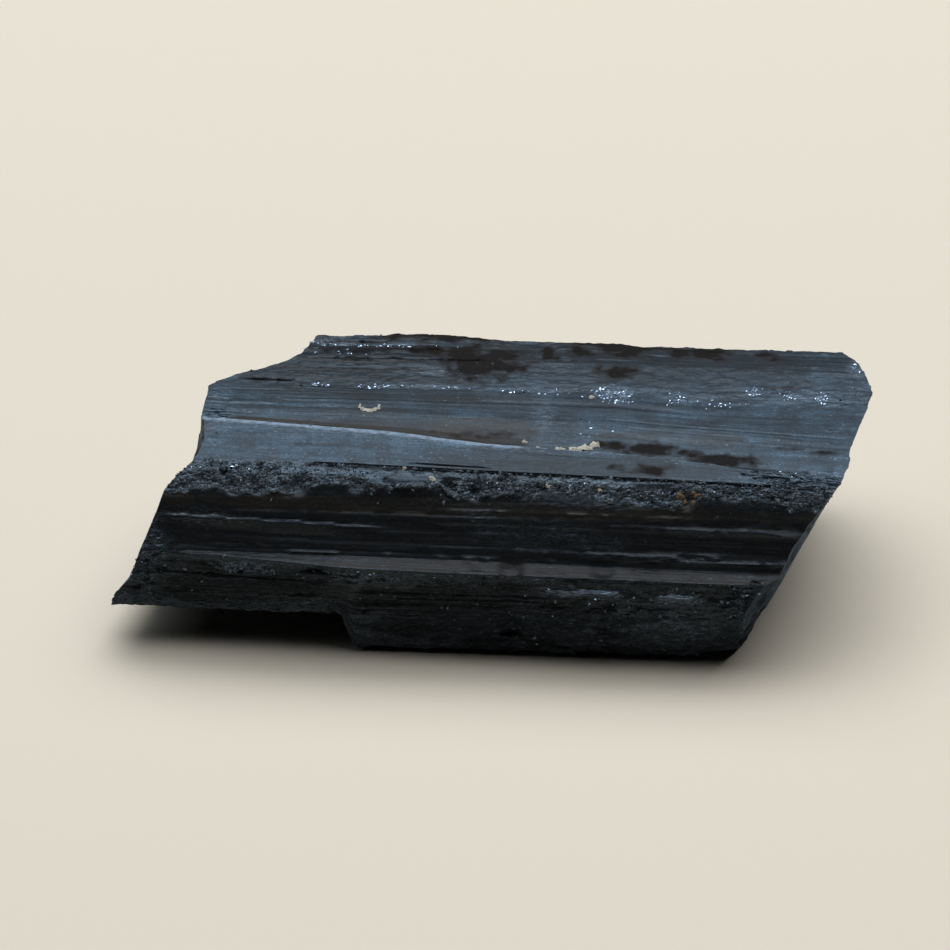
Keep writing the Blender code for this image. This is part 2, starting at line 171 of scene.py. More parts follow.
# Shelves that face up: the face below each stands proud. By line: (share of the way to the next line where it
# starts to rise, share at the shelf, how much those shares change from end to end, first x, last x, how far
# it stands proud, how long its ends run out).
SHELVES = {
    "ledge_inner": [
        (0.45, 0.79, -0.18, -23.5, -6, 0.34, 6), (0.08, 0.17, 0.03, -20.5, -4, 0.07, 2),
        (0.62, 0.82, -0.03, 10.5, 25, 0.09, 3), (0.03, 0.15, 0.07, 9.2, 21.8, 0.18, 1.6),
        (0.35, 0.45, -0.05, -6, 4, 0.05, 2),
    ],
    "lower_front": [
        (0.36, 0.66, 0.04, 4.2, 10.2, 0.36, 0.9), (0.3, 0.63, 0.04, 12, 16, 0.3, 1.2),
        (0.84, 0.92, 0, -5.5, 17, 0.08, 2), (0.15, 0.3, 0, -8, 6, 0.12, 3),
        (0.3, 0.55, 0, -25, -9.5, 0.16, 3),
    ],
}
SHELF_DEPTH = 0.13  # how far the top of a shelf runs

# Thin grooves, by line: (share of the way to the next line, first x, last x, half width, depth).
GROOVES = {
    "crest": [(0.45, 2, 24, 0.07, 0.1), (0.7, -13.5, 22, 0.09, 0.14), (1, -13, 26, 0.09, 0.15)],
    "band_front": [(0.05, -9, 26, 0.06, 0.06), (0.12, -6, 1, 0.08, 0.12)],
    "mid_rib": [(0.14, 8, 26, 0.1, 0.05)],
    "crease": [(0.2, -18.5, -14, 0.16, 0.22), (0.66, -14, -4, 0.12, 0.08), (0.95, -14, 0, 0.14, 0.12)],
    "back_band": [(0.36, -14, -3, 0.14, 0.16), (0.08, -14, -6, 0.1, 0.1), (0.72, -14, -4, 0.1, 0.1)],
}

# Lines that stand out pale, or dark where the strength is below 0: the pale ones are painted highlights along
# crests, lath edges and the crease, partly pale wear, and the dark ones are painted shade in grooves, creases
# and behind the step, partly dark stain. By line: (share of the way to the next line, first x, last x, half
# width, strength).
STREAKS = {
    "step_top": [
        (-0.03, -21.5, -9, 0.4, 1.5), (0, -14.6, -11.4, 0.4, 2.2), (-0.05, -11.5, 3, 0.45, 1.5),
        (-0.1, -18, 5, 0.8, 0.5), (0, 1, 20, 0.16, 0.6),
    ],
    "mid_rib": [
        (0.2, -21, -9.5, 0.3, 0.75), (0, 4, 27, 0.13, 0.32), (0.5, 8, 26, 0.1, 0.15),
        (0.75, -20, 4, 0.25, -0.35), (0.05, -20, -2, 0.3, -0.3),
    ],
    "back_band": [
        (0.54, -13.7, -2.6, 0.13, 0.8), (0.2, -13.7, -3.3, 0.1, 0.45), (0.92, -13.7, -6, 0.14, 0.6),
        (0.02, -13.7, -6.5, 0.1, 0.35), (0.37, -14, -2.8, 0.26, -0.8), (0.1, -14, -3.6, 0.2, -0.6),
        (0.73, -14, -3, 0.26, -0.7),
    ],
    "crease": [
        (0.8, -13, -8, 0.1, 0.3), (0.55, -8, -3.4, 0.3, 0.55), (0.05, -11.2, 3, 0.17, 0.65),
        (0.12, 3, 26, 0.25, 0.3), (0.9, -15, -4, 0.32, -0.7), (0.62, -17, -4, 0.5, -0.5),
        (0.3, -19, -3, 0.45, -0.4),
    ],
    "crest": [(0.3, -10.5, -0.5, 0.2, 0.5), (0.2, 0, 22, 0.16, 0.3), (0.85, -13, 25, 0.2, -0.5)],
    "lower_front": [(0.93, -5.5, 17, 0.05, 0.5), (0.985, -19, 17, 0.05, 0.4)],
    "ledge_inner": [
        (0.2, 11.5, 18.8, 0.08, 0.6), (0.22, 9.5, 21.5, 0.06, 0.4), (0.77, -23, -17, 0.1, 0.5),
        (0.71, -18, -12, 0.09, 0.5), (0.67, -15, -6.5, 0.05, 0.5), (0.82, 12, 24, 0.05, 0.4),
        (0.18, -20.5, -5, 0.05, 0.4), (0.62, -7, 9, 0.04, 0.25),
    ],
    "step_foot": [(0.2, -19, 3.5, 0.75, -1.3), (0.4, -16, 4.5, 1.1, -0.6), (0, 3, 24, 0.3, -0.4)],
    "ledge_outer": [
        (0.2, -12, 24, 0.12, -1.2), (0.44, -22, 24, 0.12, -0.9), (0.88, -22, 24, 0.12, -0.9),
        (0.66, -8, 18, 0.12, -1),
    ],
}

# The pits of the ridge and the front: (x, y, radius, depth).
PITS = [
    (-18.4, -6.75, 0.45, 0.5), (-12.9, -7.4, 0.8, 0.5), (1.4, -7.1, 0.75, 0.4), (14.4, -7.7, 0.6, 0.35),
    (-2.4, -7.4, 0.7, 0.4), (-0.6, -7.5, 0.5, 0.3), (-15.8, -6.5, 0.3, 0.25), (8.6, -10.4, 1.2, 0.2),
    (2.2, -11, 1.2, 0.3), (17.9, -7.2, 0.4, 0.25), (-6.8, -7.2, 0.35, 0.22), (5.3, -7.3, 0.4, 0.25),
]

# Patches of the surface: (x, y, z, half length, half width, strength). CRUMBLY, SMOOTH and RIBBED shape the
# relief, DIM thins the painted sheen, and the others colour the surface, some with painted shade or painted
# highlights as said above each.
CRUMBLY = [
    (-18.6, -6.6, 12.4, 5.4, 1.3, 1), (22.4, -6.2, 12.5, 4.4, 1.6, 0.9), (-16.8, -11.3, 7, 3.4, 0.8, 1),
    (-9, -11.5, 6.8, 5.5, 0.5, 0.7), (8.5, -11.3, 3.6, 10, 2.2, 0.6), (4.5, -9.4, 9.4, 6.5, 1.2, 0.3),
    (19, -11.4, 5, 2.5, 3, 0.9), (-23.5, -10.3, 7.5, 1.8, 4, 0.7), (9, 4.4, 13.2, 1.8, 0.8, 0.5),
    (18, 4.6, 13.2, 9, 0.9, 0.35), (3.9, 0.8, 13.2, 1, 2.6, 0.3), (-11.5, 10.6, 12.9, 2.4, 0.9, 0.4),
    (26.3, 6.5, 13, 1, 5, 0.4), (-19.5, 0, 13, 1.2, 5, 0.3),
]
SMOOTH = [(-6.0, -7.0, 12.4, 4.6, 0.55, 0.8), (10.0, -7.0, 12.4, 3.0, 0.3, 0.6)]
DIM = [
    (-9.5, 7.6, 13, 10, 5.6, 0.8), (8, 8.8, 13, 10, 5, 0.7), (17, 8.8, 13, 7, 4.6, 0.6),
    (6, -5.8, 12.7, 12, 1.8, 0.72), (-7, -0.6, 13, 7, 0.7, 0.3), (-18, 4.6, 13, 3.5, 1.2, 0.35),
    (-12, 3.4, 13, 8, 1.2, 0.4),
]
# Places of painted shade, darker and duller: the lower faces that look down towards the floor, and the face
# under the lip.
PAINTED_SHADE = [
    (0, -11.4, 4, 13, 3.6, 1), (-17, -10.9, 5.4, 10, 2.2, 1), (19, -11, 4, 3, 4, 0.8),
    (-7, -8.4, 11.9, 4.5, 0.8, 0.6),
]
STAINED = [
    (-3.6, 11.6, 12.9, 5, 0.8, 1), (-1, 8.2, 13.3, 3.4, 2.8, 1), (-4.6, 9.6, 13.2, 2.6, 0.9, 0.8),
    (-2.6, 6.4, 13.2, 1.2, 0.9, 0.8), (3.7, 9.4, 13.2, 0.5, 1.3, 0.85), (4.6, 8.6, 13.2, 0.4, 0.9, 0.7),
    (8.8, 11, 13, 3.8, 1, 1), (6, 9.9, 13, 1.2, 1.5, 0.85), (9.6, 9.9, 13, 1.4, 0.8, 0.8),
    (8.9, 6.9, 13.2, 1.7, 1.1, 0.85), (14.8, 10.4, 13.1, 2.9, 1, 0.95), (16, 9.6, 13.1, 1.2, 0.8, 0.8),
    (19.9, 10.2, 13.1, 1.2, 1.1, 0.9), (8.9, -2.6, 12.8, 1.6, 0.6, 0.85), (11.6, -3, 12.8, 2.2, 0.75, 0.95),
    (14.2, -3.3, 12.8, 1.4, 0.55, 0.85), (16.9, -3.9, 12.8, 2.4, 0.65, 1), (9.4, -5.6, 12.9, 0.8, 0.4, 0.8),
    (11.6, -5.7, 12.9, 1.3, 0.6, 0.9), (-1, -1.7, 13, 3, 0.4, 0.55), (21.4, -2.4, 12.9, 1.8, 0.25, 0.6),
    (24.4, -2.7, 12.9, 1.6, 0.3, 0.65), (12.2, 11, 12.9, 1.6, 0.6, 0.8), (21, 5.6, 13, 2, 0.35, 0.45),
    (-16.4, 4.7, 13.1, 1.8, 0.3, 0.8),
]
# A brown tinge; the weak patch along the lower front is the warm floor's reflection, painted.
BROWN = [
    (-0.6, -1, 13, 4.5, 1.3, 0.75), (13.5, -1.6, 13.1, 7, 0.8, 0.5), (-9, 0.6, 13, 5, 0.8, 0.35),
    (14.2, -7.6, 12, 0.9, 0.5, 1), (0, -8.3, 10.9, 30, 0.7, 0.9), (-10, -10.9, 5.4, 16, 1.8, 0.15),
    (0, 2.6, 13.2, 6, 0.8, 0.35),
]
RIBBED = [
    (-16, 1, 13.1, 8, 3, 0.25), (12, -1.6, 13, 14, 1, 0.2), (0, -9.6, 9.5, 30, 2, 0.5),
    (-8.5, 9.6, 13.1, 6, 3, 0.5), (0, 12.4, 8, 30, 7, 0.9), (0, -10.8, 5, 30, 2.4, 0.6),
    (0, -2, 1, 30, 7, 0.8),
]
# Pale patches: pale wear, and painted highlights, glints and reflections of the light above on small facets.
PALE_AND_HIGHLIGHT = [
    (5.9, -9.2, 9.6, 1.4, 0.5, 0.3), (7.6, -9.9, 8.7, 0.9, 0.4, 0.3), (-0.2, -8.6, 10.5, 1.2, 0.6, 0.3),
    (-20, -9, 9.9, 3, 0.6, 0.3), (-17, -11.2, 7.1, 2.6, 0.5, 0.45), (6.3, -11.6, 6.3, 2, 0.45, 0.6),
    (8.6, -11.6, 6.3, 1.4, 0.4, 0.5), (13.4, -11.65, 6.1, 1.3, 0.45, 0.5), (14.9, -11.65, 6, 0.8, 0.4, 0.45),
    (-4.6, 6.3, 13.2, 1.8, 0.6, 0.5), (3.8, 1, 13.2, 0.9, 2.4, 0.3), (8.8, 3.9, 13.2, 1.4, 0.9, 0.6),
    (14, 3.6, 13.1, 2, 0.8, 0.4), (18.6, 4.8, 13.1, 0.8, 0.7, 0.45), (23, 4.4, 13.1, 2.4, 0.9, 0.4),
    (26, 8.9, 13, 0.6, 1.2, 0.5), (-12, 10.6, 13, 2.4, 0.7, 0.4), (-20, 2, 13.1, 1, 1.6, 0.3),
    (3.4, 4.2, 13.2, 2.6, 0.5, 0.45), (-5, 4.2, 13.2, 4, 0.35, 0.4), (7.5, -7.6, 12.1, 5, 1, 0.85),
    (18, -7.4, 12.1, 5, 0.6, 0.45), (-16, -7, 12.3, 3, 0.6, 0.4),
]
PATCH_NOISE = [(1.6, 0.4), (0.6, 0.3), (0.25, 0.2)]  # (size, strength) of the raggedness of a patch's edge
PATCH_STRETCH = 2.0  # how much longer than wide that raggedness is
PATCH_EDGE = 0.35  # how soft a patch's edge is, in its own half sizes
FIELD_REACH = 1.5  # how far a soft field reaches, in its own half sizes

# The sheen is painted: the blue-grey reflection of the light from above, put as colour on the faces that look
# up, over a thin powdery haze.
# How much of the top's painted sheen each face has, and from which upward slope to which that sheen grows.
PAINTED_SHEEN_SHARE = {"lower_front": 0.0, "ledge_outer": 0.1, "ledge_inner": 0.45, "front_top": 0.45}
PAINTED_SHEEN_SLOPE = (0.34375, 0.96875)
BASE_RIBBING = 0.16  # how much of the laths shows outside the ribbed patches

# Relief of the crumbly places: lumps and angular grains, each (size, height).
LUMPS = [(1.1, 0.14), (0.5, 0.08)]
GRAINS = [(0.75, 0.13), (0.4, 0.12), (0.24, 0.08)]
LEAST_CRUMBLE = 0.01  # below this a place gets none of them
STRIATIONS = [(0.3, 6.0, 0.01), (0.9, 12.0, 0.03)]  # the soft lines along the faces: (width, length, height)
STRIATIONS_LOST = 0.7  # how much of them a crumbly face loses
WAVE = (5.0, 2.0, 0.03)  # the laths' wandering: its length, its width, and how far they stray sideways
FLAT_CORE = 1.3  # how much steeper than a dome a streak or a pit is, so that its middle is flat
PIT_LOWEST = 2.0  # no pit reaches below this height

# The bites out of the lip: (length, width, sharpness, depth, where in the noise), how deep a depth of 1 is,
# what share of the way from the lip to the crest their middle lies, how far round they reach, and how quickly
# they turn the face crumbly.
CHIPS = [(1.3, 2.6, 2.2, 1.0, 21.0), (0.52, 1.3, 2.5, 0.5, 5.0)]
CHIP_DEPTH = 0.22
CHIP_PLACE = 0.15
CHIP_REACH = 0.75
CHIP_CRUMBLE = 3.0

WEAR_AND_HIGHLIGHT_RISE = 0.02  # how sharply an edge stands out before it is painted paler, partly as wear and partly as painted highlight
STREAK_GAPS = (0.5, 0.3, 0.35)  # length and width of the gaps in a streak, and how much of it they take

# Where in the noise each of these is read, so that no two are alike.
CRUMBLE_SLICE = 3.7
STRIATION_SLICE = 7.7
WAVE_SLICE = 1.5
STREAK_SLICE = 31.0

# The looks of the broken ends, which have none of the long faces' patches: much painted shade, a little
# painted sheen, and a little wear and painted highlight.
END_LOOKS = {
    "crumbly": 0.8, "stained": 0.0, "dark": 0.0, "brown": 0.15, "painted_shade": 0.85, "pale": 0.0, "wear_and_highlight": 0.1,
    "painted_sheen": 0.24,
}


def along(points, x):
    """The y and z at x of a long line."""
    table = np.array(points, float)
    return np.interp(x, table[:, 0], table[:, 1]), np.interp(x, table[:, 0], table[:, 2])


def rows_of_lines():
    """Each row round the loop as (its line's number, its share of the way to the next line)."""
    rows = []
    for number, (width, _, points) in enumerate(LINES):
        following = LINES[(number + 1) % len(LINES)][2]
        here = np.array(along(points, 0.0))
        there = np.array(along(following, 0.0))
        count = max(1, round(float(np.linalg.norm(there - here)) / width))
        rows += [(number, step / count) for step in range(count)]
    return rows


def loop_at(row, x):
    """The point (y, z) of a row at each x, before any relief."""
    number, share = row
    y0, z0 = along(LINES[number][2], x)
    y1, z1 = along(LINES[(number + 1) % len(LINES)][2], x)
    return y0 + (y1 - y0) * share, z0 + (z1 - z0) * share


def ramp(value, width):
    """0 to 1 as value goes from 0 to width."""
    return np.clip(value / width, 0.0, 1.0)


def smooth(value):
    """0 to 1 as value goes from 0 to 1, with no corner at either end."""
    value = np.clip(value, 0.0, 1.0)
    return value * value * (3.0 - 2.0 * value)


def between(x, first, last, taper):
    """1 between the first and the last x, going to 0 at them."""
    return np.minimum(ramp(x - first, taper), ramp(last - x, taper))


def stacked(*parts):
    """An array of places from the arrays or numbers of their three parts."""
    return np.stack(np.broadcast_arrays(*parts), axis=-1).astype(float)


def lumps(places):
    """Soft noise, from -1 to 1, at each of an array of places (..., 3)."""
    values = [noise.noise(place) for place in places.reshape(-1, 3).tolist()]
    return np.array(values).reshape(places.shape[:-1])


def facets(places):
    """Angular grains at each of an array of places (..., 3), where each cell is a plane."""
    by_height, by_slope = FACET_LIFT
    values = []
    for place in places.reshape(-1, 3).tolist():
        centre = noise.voronoi(place)[1][0]
        slope = noise.cell_vector(centre * STEP_SPREAD) - Vector((0.5, 0.5, 0.5))
        height = noise.cell(centre * STEP_SPREAD)
        values.append(by_height * height + by_slope * slope.dot(Vector(place) - centre))
    return np.array(values).reshape(places.shape[:-1])


def raggedness(points):
    """Noise at each point that makes the edges of patches ragged."""
    total = np.zeros(points.shape[:-1])
    for size, strength in PATCH_NOISE:
        total += strength * lumps(points / (PATCH_STRETCH * size, size, size))
    return total


def off_middle(points, patch):
    """How far each point (..., 3) is from a patch's middle, in the patch's own half sizes."""
    x, y, z, half_length, half_width, _ = patch
    across = (points[..., 1] - y) ** 2 + (points[..., 2] - z) ** 2
    return np.sqrt(((points[..., 0] - x) / half_length) ** 2 + across / half_width**2)


def patches(points, ragged, table):
    """How far each point (..., 3) lies in any of a table's patches, whose edges are ragged."""
    found = np.zeros(points.shape[:-1])
    for patch in table:
        inside = smooth((1.0 - off_middle(points, patch) + ragged) / PATCH_EDGE)
        found = np.maximum(found, patch[-1] * inside)
    return found


def fields(points, table):
    """How near each point (..., 3) is to a table's patches: 1 inside, 0.5 at an edge and 0 outside."""
    found = np.zeros(points.shape[:-1])
    for patch in table:
        near = np.clip(FIELD_REACH - off_middle(points, patch), 0.0, 1.0)
        found = np.maximum(found, patch[-1] * near)
    return found


# ---- The skin and its relief ----


def smooth_break(points):
    """The smooth surface through a break's points: how much each point's cone and a plane weigh in it."""
    table = np.array(points)
    places = table[:, :2]
    spread = np.linalg.norm(places[:, None] - places[None], axis=-1) - BREAK_SLACK * np.eye(len(table))
    plane = np.column_stack([np.ones(len(table)), places])
    known = np.block([[spread, plane], [plane.T, np.zeros((3, 3))]])
    return np.linalg.solve(known, np.concatenate([table[:, 2], np.zeros(3)]))


def break_at(side, points, y, z, inside):
    """A break's plain x at arrays of y and z, and what its steps add; inside is how far in from the rim."""
    weights = smooth_break(points)
    total = weights[-3] + weights[-2] * y + weights[-1] * z
    for weight, (py, pz, _) in zip(weights, points):
        total = total + weight * np.hypot(y - py, z - pz)
    place = BREAK_SLICE * side
    steps = BREAK_ROUGHNESS * lumps(stacked(y, z, place) * BREAK_GRAIN)
    for number, (cell, height) in enumerate(BREAK_STEPS):
        steps += height * (facets(stacked(y / cell, z / cell, place + number)) - STEP_LEVEL)
    steps = -side * np.maximum(steps + BREAK_INSET, 0.0)
    return total, steps * (RIM_SHARE + (1.0 - RIM_SHARE) * smooth(inside / RIM_WIDTH))


def random_laths(seed, count, widths, lengths, heights):
    """Laths as (share of the way round the loop, half width, first x, last x, height)."""
    chance = random.Random(seed)
    made = []
    for _ in range(count):
        width = chance.uniform(*widths)
        length = chance.uniform(*lengths)
        start = chance.uniform(*LATH_START)
        height = chance.uniform(*heights) * chance.choice((-1.0, 1.0))
        made.append((chance.random(), width / 2, start, start + length, height))
    return made


def lath_relief(x, distance, perimeter, laths, taper, edge):
    """How far the laths stand out at each x and distance round the loop."""
    height = np.zeros_like(x)
    for share, half, first, last, lift in laths:
        off = np.abs((distance - share * perimeter + perimeter / 2) % perimeter - perimeter / 2)
        rows = np.flatnonzero((off < half).any(axis=1))
        if len(rows):
            height[rows] += lift * ramp(half - off[rows], edge) * between(x[rows], first, last, taper)
    return height


def all_laths(loop, x, distance):
    """How far all the laths stand out."""
    height = np.zeros_like(x)
    for seed, count, widths, lengths, heights, taper, edge in LATHS:
        laths = random_laths(seed, count, widths, lengths, heights)
        height += lath_relief(x, distance, loop.perimeter, laths, taper, edge)
    return height


class Loop:
    """The rows round the crystal: their lines, their distances round it, and the way all round."""

    def __init__(self):
        self.rows = rows_of_lines()
        self.numbers = np.array([number for number, _ in self.rows])
        middle = np.array([loop_at(row, 0.0) for row in self.rows])
        steps = np.linalg.norm(np.roll(middle, -1, axis=0) - middle, axis=1)
        self.distances = np.concatenate([[0.0], np.cumsum(steps)[:-1]])
        self.perimeter = float(steps.sum())
        self.starts = [self.distances[np.argmax(self.numbers == number)] for number in range(len(LINES))]

    def distance(self, line, share):
        """How far round the loop a share of the way from a line to the next one is."""
        number = LINE_NAMES.index(line)
        ends = self.starts + [self.perimeter]
        return ends[number] + share * (ends[number + 1] - ends[number])

    def crumbliness(self):
        """How crumbly each row is."""
        return np.array([LINES[number][1] for number in self.numbers])

    def painted_sheen_share(self):
        """How much of the top's painted sheen each row has."""
        return np.array([PAINTED_SHEEN_SHARE.get(LINE_NAMES[number], 1.0) for number in self.numbers])

    def flat(self):
        """Which rows lie flat on the ground."""
        return self.crumbliness() == 0.0


def base_grid(loop):
    """The skin's points before any relief, by the loop's rows and by columns along X."""
    ends = []
    for side, table, end in ((-1, LEFT_BREAK, LEFT_END), (1, RIGHT_BREAK, RIGHT_END)):
        places = np.array([loop_at(row, end) for row in loop.rows])
        ends.append(break_at(side, table, places[:, 0], places[:, 1], np.zeros(len(places))))
    (left, left_step), (right, right_step) = ends
    grid = np.empty((len(loop.rows), COLUMNS, 3))
    for index, row in enumerate(loop.rows):
        x = np.linspace(left[index], right[index], COLUMNS)
        shift = left_step[index] * (1 - ramp(x - left[index], BREAK_FADE))
        shift += right_step[index] * (1 - ramp(right[index] - x, BREAK_FADE))
        grid[index, :, 0] = x + shift
        grid[index, :, 1], grid[index, :, 2] = loop_at(row, grid[index, :, 0])
    return grid


def outward_of(grid):
    """The direction (y, z) that faces out of the loop at each point of the grid."""
    across = np.roll(grid, -2, axis=0) - np.roll(grid, 2, axis=0)
    outward = np.stack([-across[..., 2], across[..., 1]], axis=-1)
    return outward / np.linalg.norm(outward, axis=-1, keepdims=True)


def rows_in(table):
    """The rows of a table that is grouped by line, each with its line first."""
    return [(line, *row) for line, rows in table.items() for row in rows]


def placed_relief(loop, x, distance):
    """The shelves and grooves that have a place of their own."""
    height = np.zeros_like(x)
    for line, low, high, slant, first, last, proud, taper in rows_in(SHELVES):
        along_it = (x - first) / (last - first)
        lift = slant * along_it * (loop.distance(line, 1.0) - loop.distance(line, 0.0))
        start = loop.distance(line, low) + lift
        top = loop.distance(line, high) + lift
        rise = smooth((distance - start) / (top - start)) * ramp(top - distance, SHELF_DEPTH)
        height += proud * rise * between(x, first, last, taper)
    for line, share, first, last, half, depth in rows_in(GROOVES):
        off = np.abs(distance - loop.distance(line, share))
        height -= depth * smooth(1.0 - off / half) * between(x, first, last, END_TAPER)
    return height


def streaks(loop, x, distance):
    """How pale and how dark the streaks make each point: painted highlight and painted shade, partly wear and
    stain.
    """
    length, width, share = STREAK_GAPS
    gaps = 1.0 - share + share * lumps(stacked(x / length, distance / width, STREAK_SLICE))
    pale = np.zeros_like(x)
    dark = np.zeros_like(x)
    for line, place, first, last, half, strength in rows_in(STREAKS):
        off = np.abs(distance - loop.distance(line, place))
        found = abs(strength) * smooth(FLAT_CORE * (1.0 - off / half)) * between(x, first, last, END_TAPER)
        if strength > 0:
            pale = np.maximum(pale, found * gaps)
        else:
            dark = np.maximum(dark, found)
    return pale, dark


def pit_relief(x, y, z):
    """How deep the pits are at each point of the front and the ridge."""
    depth = np.zeros_like(x)
    for pit_x, pit_y, radius, deepest in PITS:
        off = np.hypot(x - pit_x, y - pit_y) / radius
        depth = np.maximum(depth, deepest * smooth(FLAT_CORE * (1.0 - off)))
    return np.where(z > PIT_LOWEST, depth, 0.0)


def crumble_relief(x, distance, crumbly):
    """Lumps and angular grains, as high as each place is crumbly."""
    height = np.zeros_like(x)
    rough = crumbly > LEAST_CRUMBLE
    for size, lift in LUMPS:
        places = stacked(x[rough] / size, distance[rough] / size, CRUMBLE_SLICE)
        height[rough] += lift * crumbly[rough] * lumps(places)
    for number, (size, lift) in enumerate(GRAINS):
        places = stacked(x[rough] / size, distance[rough] / size, CRUMBLE_SLICE + number)
        height[rough] += lift * crumbly[rough] * facets(places)
    return height


def striation_relief(x, distance, crumbly):
    """The soft lines along the faces, weaker where a face is crumbly."""
    height = np.zeros_like(x)
    for number, (width, length, lift) in enumerate(STRIATIONS):
        height += lift * lumps(stacked(x / length, distance / width, STRIATION_SLICE + number))
    return height * (1.0 - STRIATIONS_LOST * crumbly)


def lip_chips(loop, x, distance):
    """Bites, from 0 to 1.5, out of the lip, where the ridge breaks off above the front."""
    bite = np.zeros_like(x)
    for length, width, sharpness, depth, place in CHIPS:
        bite += depth * smooth(sharpness * lumps(stacked(x / length, distance / width, place)))
    off = np.abs(distance - loop.distance("lip", CHIP_PLACE)) / CHIP_REACH
    return bite * smooth(1.0 - off)


def looks_of(loop, grid, outward, ragged, crumbly, height, strayed):
    """What each point looks like, as the numbers that the material reads."""
    # The streaks paint highlights (pale) and shade (dark), partly wear and stain.
    pale, dark = streaks(loop, grid[..., 0], strayed)
    # Edges that stand out are painted paler: partly wear, partly painted highlight.
    edges = height - (np.roll(height, 1, axis=0) + np.roll(height, -1, axis=0)) / 2
    low, high = PAINTED_SHEEN_SLOPE
    # The faces that look up get the painted sheen: the reflection of the light from above, painted as colour.
    facing_up = smooth((outward[..., 1] - low) / (high - low))
    return {
        "crumbly": np.clip(crumbly, 0.0, 1.0),
        "stained": fields(grid, STAINED),
        "dark": dark,
        "brown": patches(grid, ragged, BROWN),
        "painted_shade": patches(grid, ragged, PAINTED_SHADE),
        "pale": np.maximum(fields(grid, PALE_AND_HIGHLIGHT), pale),
        "wear_and_highlight": np.clip(edges / WEAR_AND_HIGHLIGHT_RISE, 0.0, 1.0),
        "painted_sheen": facing_up * loop.painted_sheen_share()[:, None] * (1.0 - fields(grid, DIM)),
    }


def skin(loop):
    """The long faces: their points, the directions out of them, and what each point looks like."""
    grid = base_grid(loop)
    x = grid[..., 0]
    distance = np.broadcast_to(loop.distances[:, None], x.shape)
    length, width, stray = WAVE
    strayed = distance + stray * lumps(stacked(x / length, distance / width, WAVE_SLICE))
    outward = outward_of(grid)
    ragged = raggedness(grid)
    bites = lip_chips(loop, x, distance)
    crumbly = np.maximum(loop.crumbliness()[:, None], patches(grid, ragged, CRUMBLY))
    crumbly = crumbly * (1.0 - patches(grid, ragged, SMOOTH))
    crumbly = np.maximum(crumbly, smooth(CHIP_CRUMBLE * bites))
    height = all_laths(loop, x, strayed) + striation_relief(x, distance, crumbly)
    height *= BASE_RIBBING + (1.0 - BASE_RIBBING) * patches(grid, ragged, RIBBED)
    height += placed_relief(loop, x, strayed)
    height += crumble_relief(x, distance, crumbly) - CHIP_DEPTH * bites
    height -= pit_relief(x, grid[..., 1], grid[..., 2])
    height[loop.flat()] = 0.0
    looks = looks_of(loop, grid, outward, ragged, crumbly, height, strayed)
    grid[..., 1:] += outward * height[..., None]
    grid[..., 2] = np.maximum(grid[..., 2], 0.0)
    return grid, outward, looks


# ---- The crystal's mesh ----


def places_inside(loop):
    """The points of a grid of triangles that lie inside the loop, and how far each is from it."""
    low = loop.min(axis=0)
    high = loop.max(axis=0)
    ahead = np.roll(loop, -1, axis=0)
    found = []
    for number, z in enumerate(np.arange(low[1], high[1], BREAK_GRID_RISE)):
        crosses = (loop[:, 1] > z) != (ahead[:, 1] > z)
        share = (z - loop[crosses, 1]) / (ahead[crosses, 1] - loop[crosses, 1])
        cuts = loop[crosses, 0] + share * (ahead[crosses, 0] - loop[crosses, 0])
        offset = (number % 2) * BREAK_GRID / 2
        for y in np.arange(low[0] + offset, high[0], BREAK_GRID):
            near = np.hypot(loop[:, 0] - y, loop[:, 1] - z).min()
            if np.count_nonzero(cuts > y) % 2 == 1 and near > BREAK_GRID / 2:
                found.append((y, z, near))
    return np.array(found)


def broken_end(side, rim, table):
    """The points added inside one end's rim, and the faces that close the end."""
    places = places_inside(rim[:, 1:])
    flat = [Vector(place) for place in rim[:, 1:].tolist() + places[:, :2].tolist()]
    made = delaunay_2d_cdt(flat, [], [list(range(len(rim)))], 1, SAME_PLACE)
    plain, steps = break_at(side, table, *places.T)
    added = np.column_stack([plain + steps, places[:, :2]]).tolist()
    sources = []
    for place, origin in zip(made[0], made[3]):
        if origin:
            sources.append(origin[0])
        else:  # where the rim crosses itself
            near = np.hypot(rim[:, 1] - place.x, rim[:, 2] - place.y).argmin()
            sources.append(len(rim) + len(added))
            added.append([rim[near, 0], place.x, place.y])
    faces = [[sources[corner] for corner in face] for face in made[2]]
    return np.array(added), faces


def side_faces(rows, columns):
    """The faces of the skin, each between two rows and two columns."""
    faces = []
    for row in range(rows):
        here = row * columns
        above = (row + 1) % rows * columns
        for column in range(columns - 1):
            faces.append((here + column, here + column + 1, above + column + 1, above + column))
    return faces


def mesh_of(name, points, faces):
    """A mesh in metres, about the middle of the base, of points in the tables' millimetres."""
    mesh = bpy.data.meshes.new(name)
    mesh.from_pydata(((points - MIDDLE) * MM).tolist(), [], faces)
    return mesh


def give_looks(mesh, looks):
    """Puts the looks on the mesh's points, of which the skin's come before those of the broken ends."""
    for name, values in looks.items():
        whole = np.full(len(mesh.vertices), END_LOOKS[name])
        whole[: values.size] = values.reshape(-1)
        mesh.attributes.new(name, "FLOAT", "POINT").data.foreach_set("value", whole)


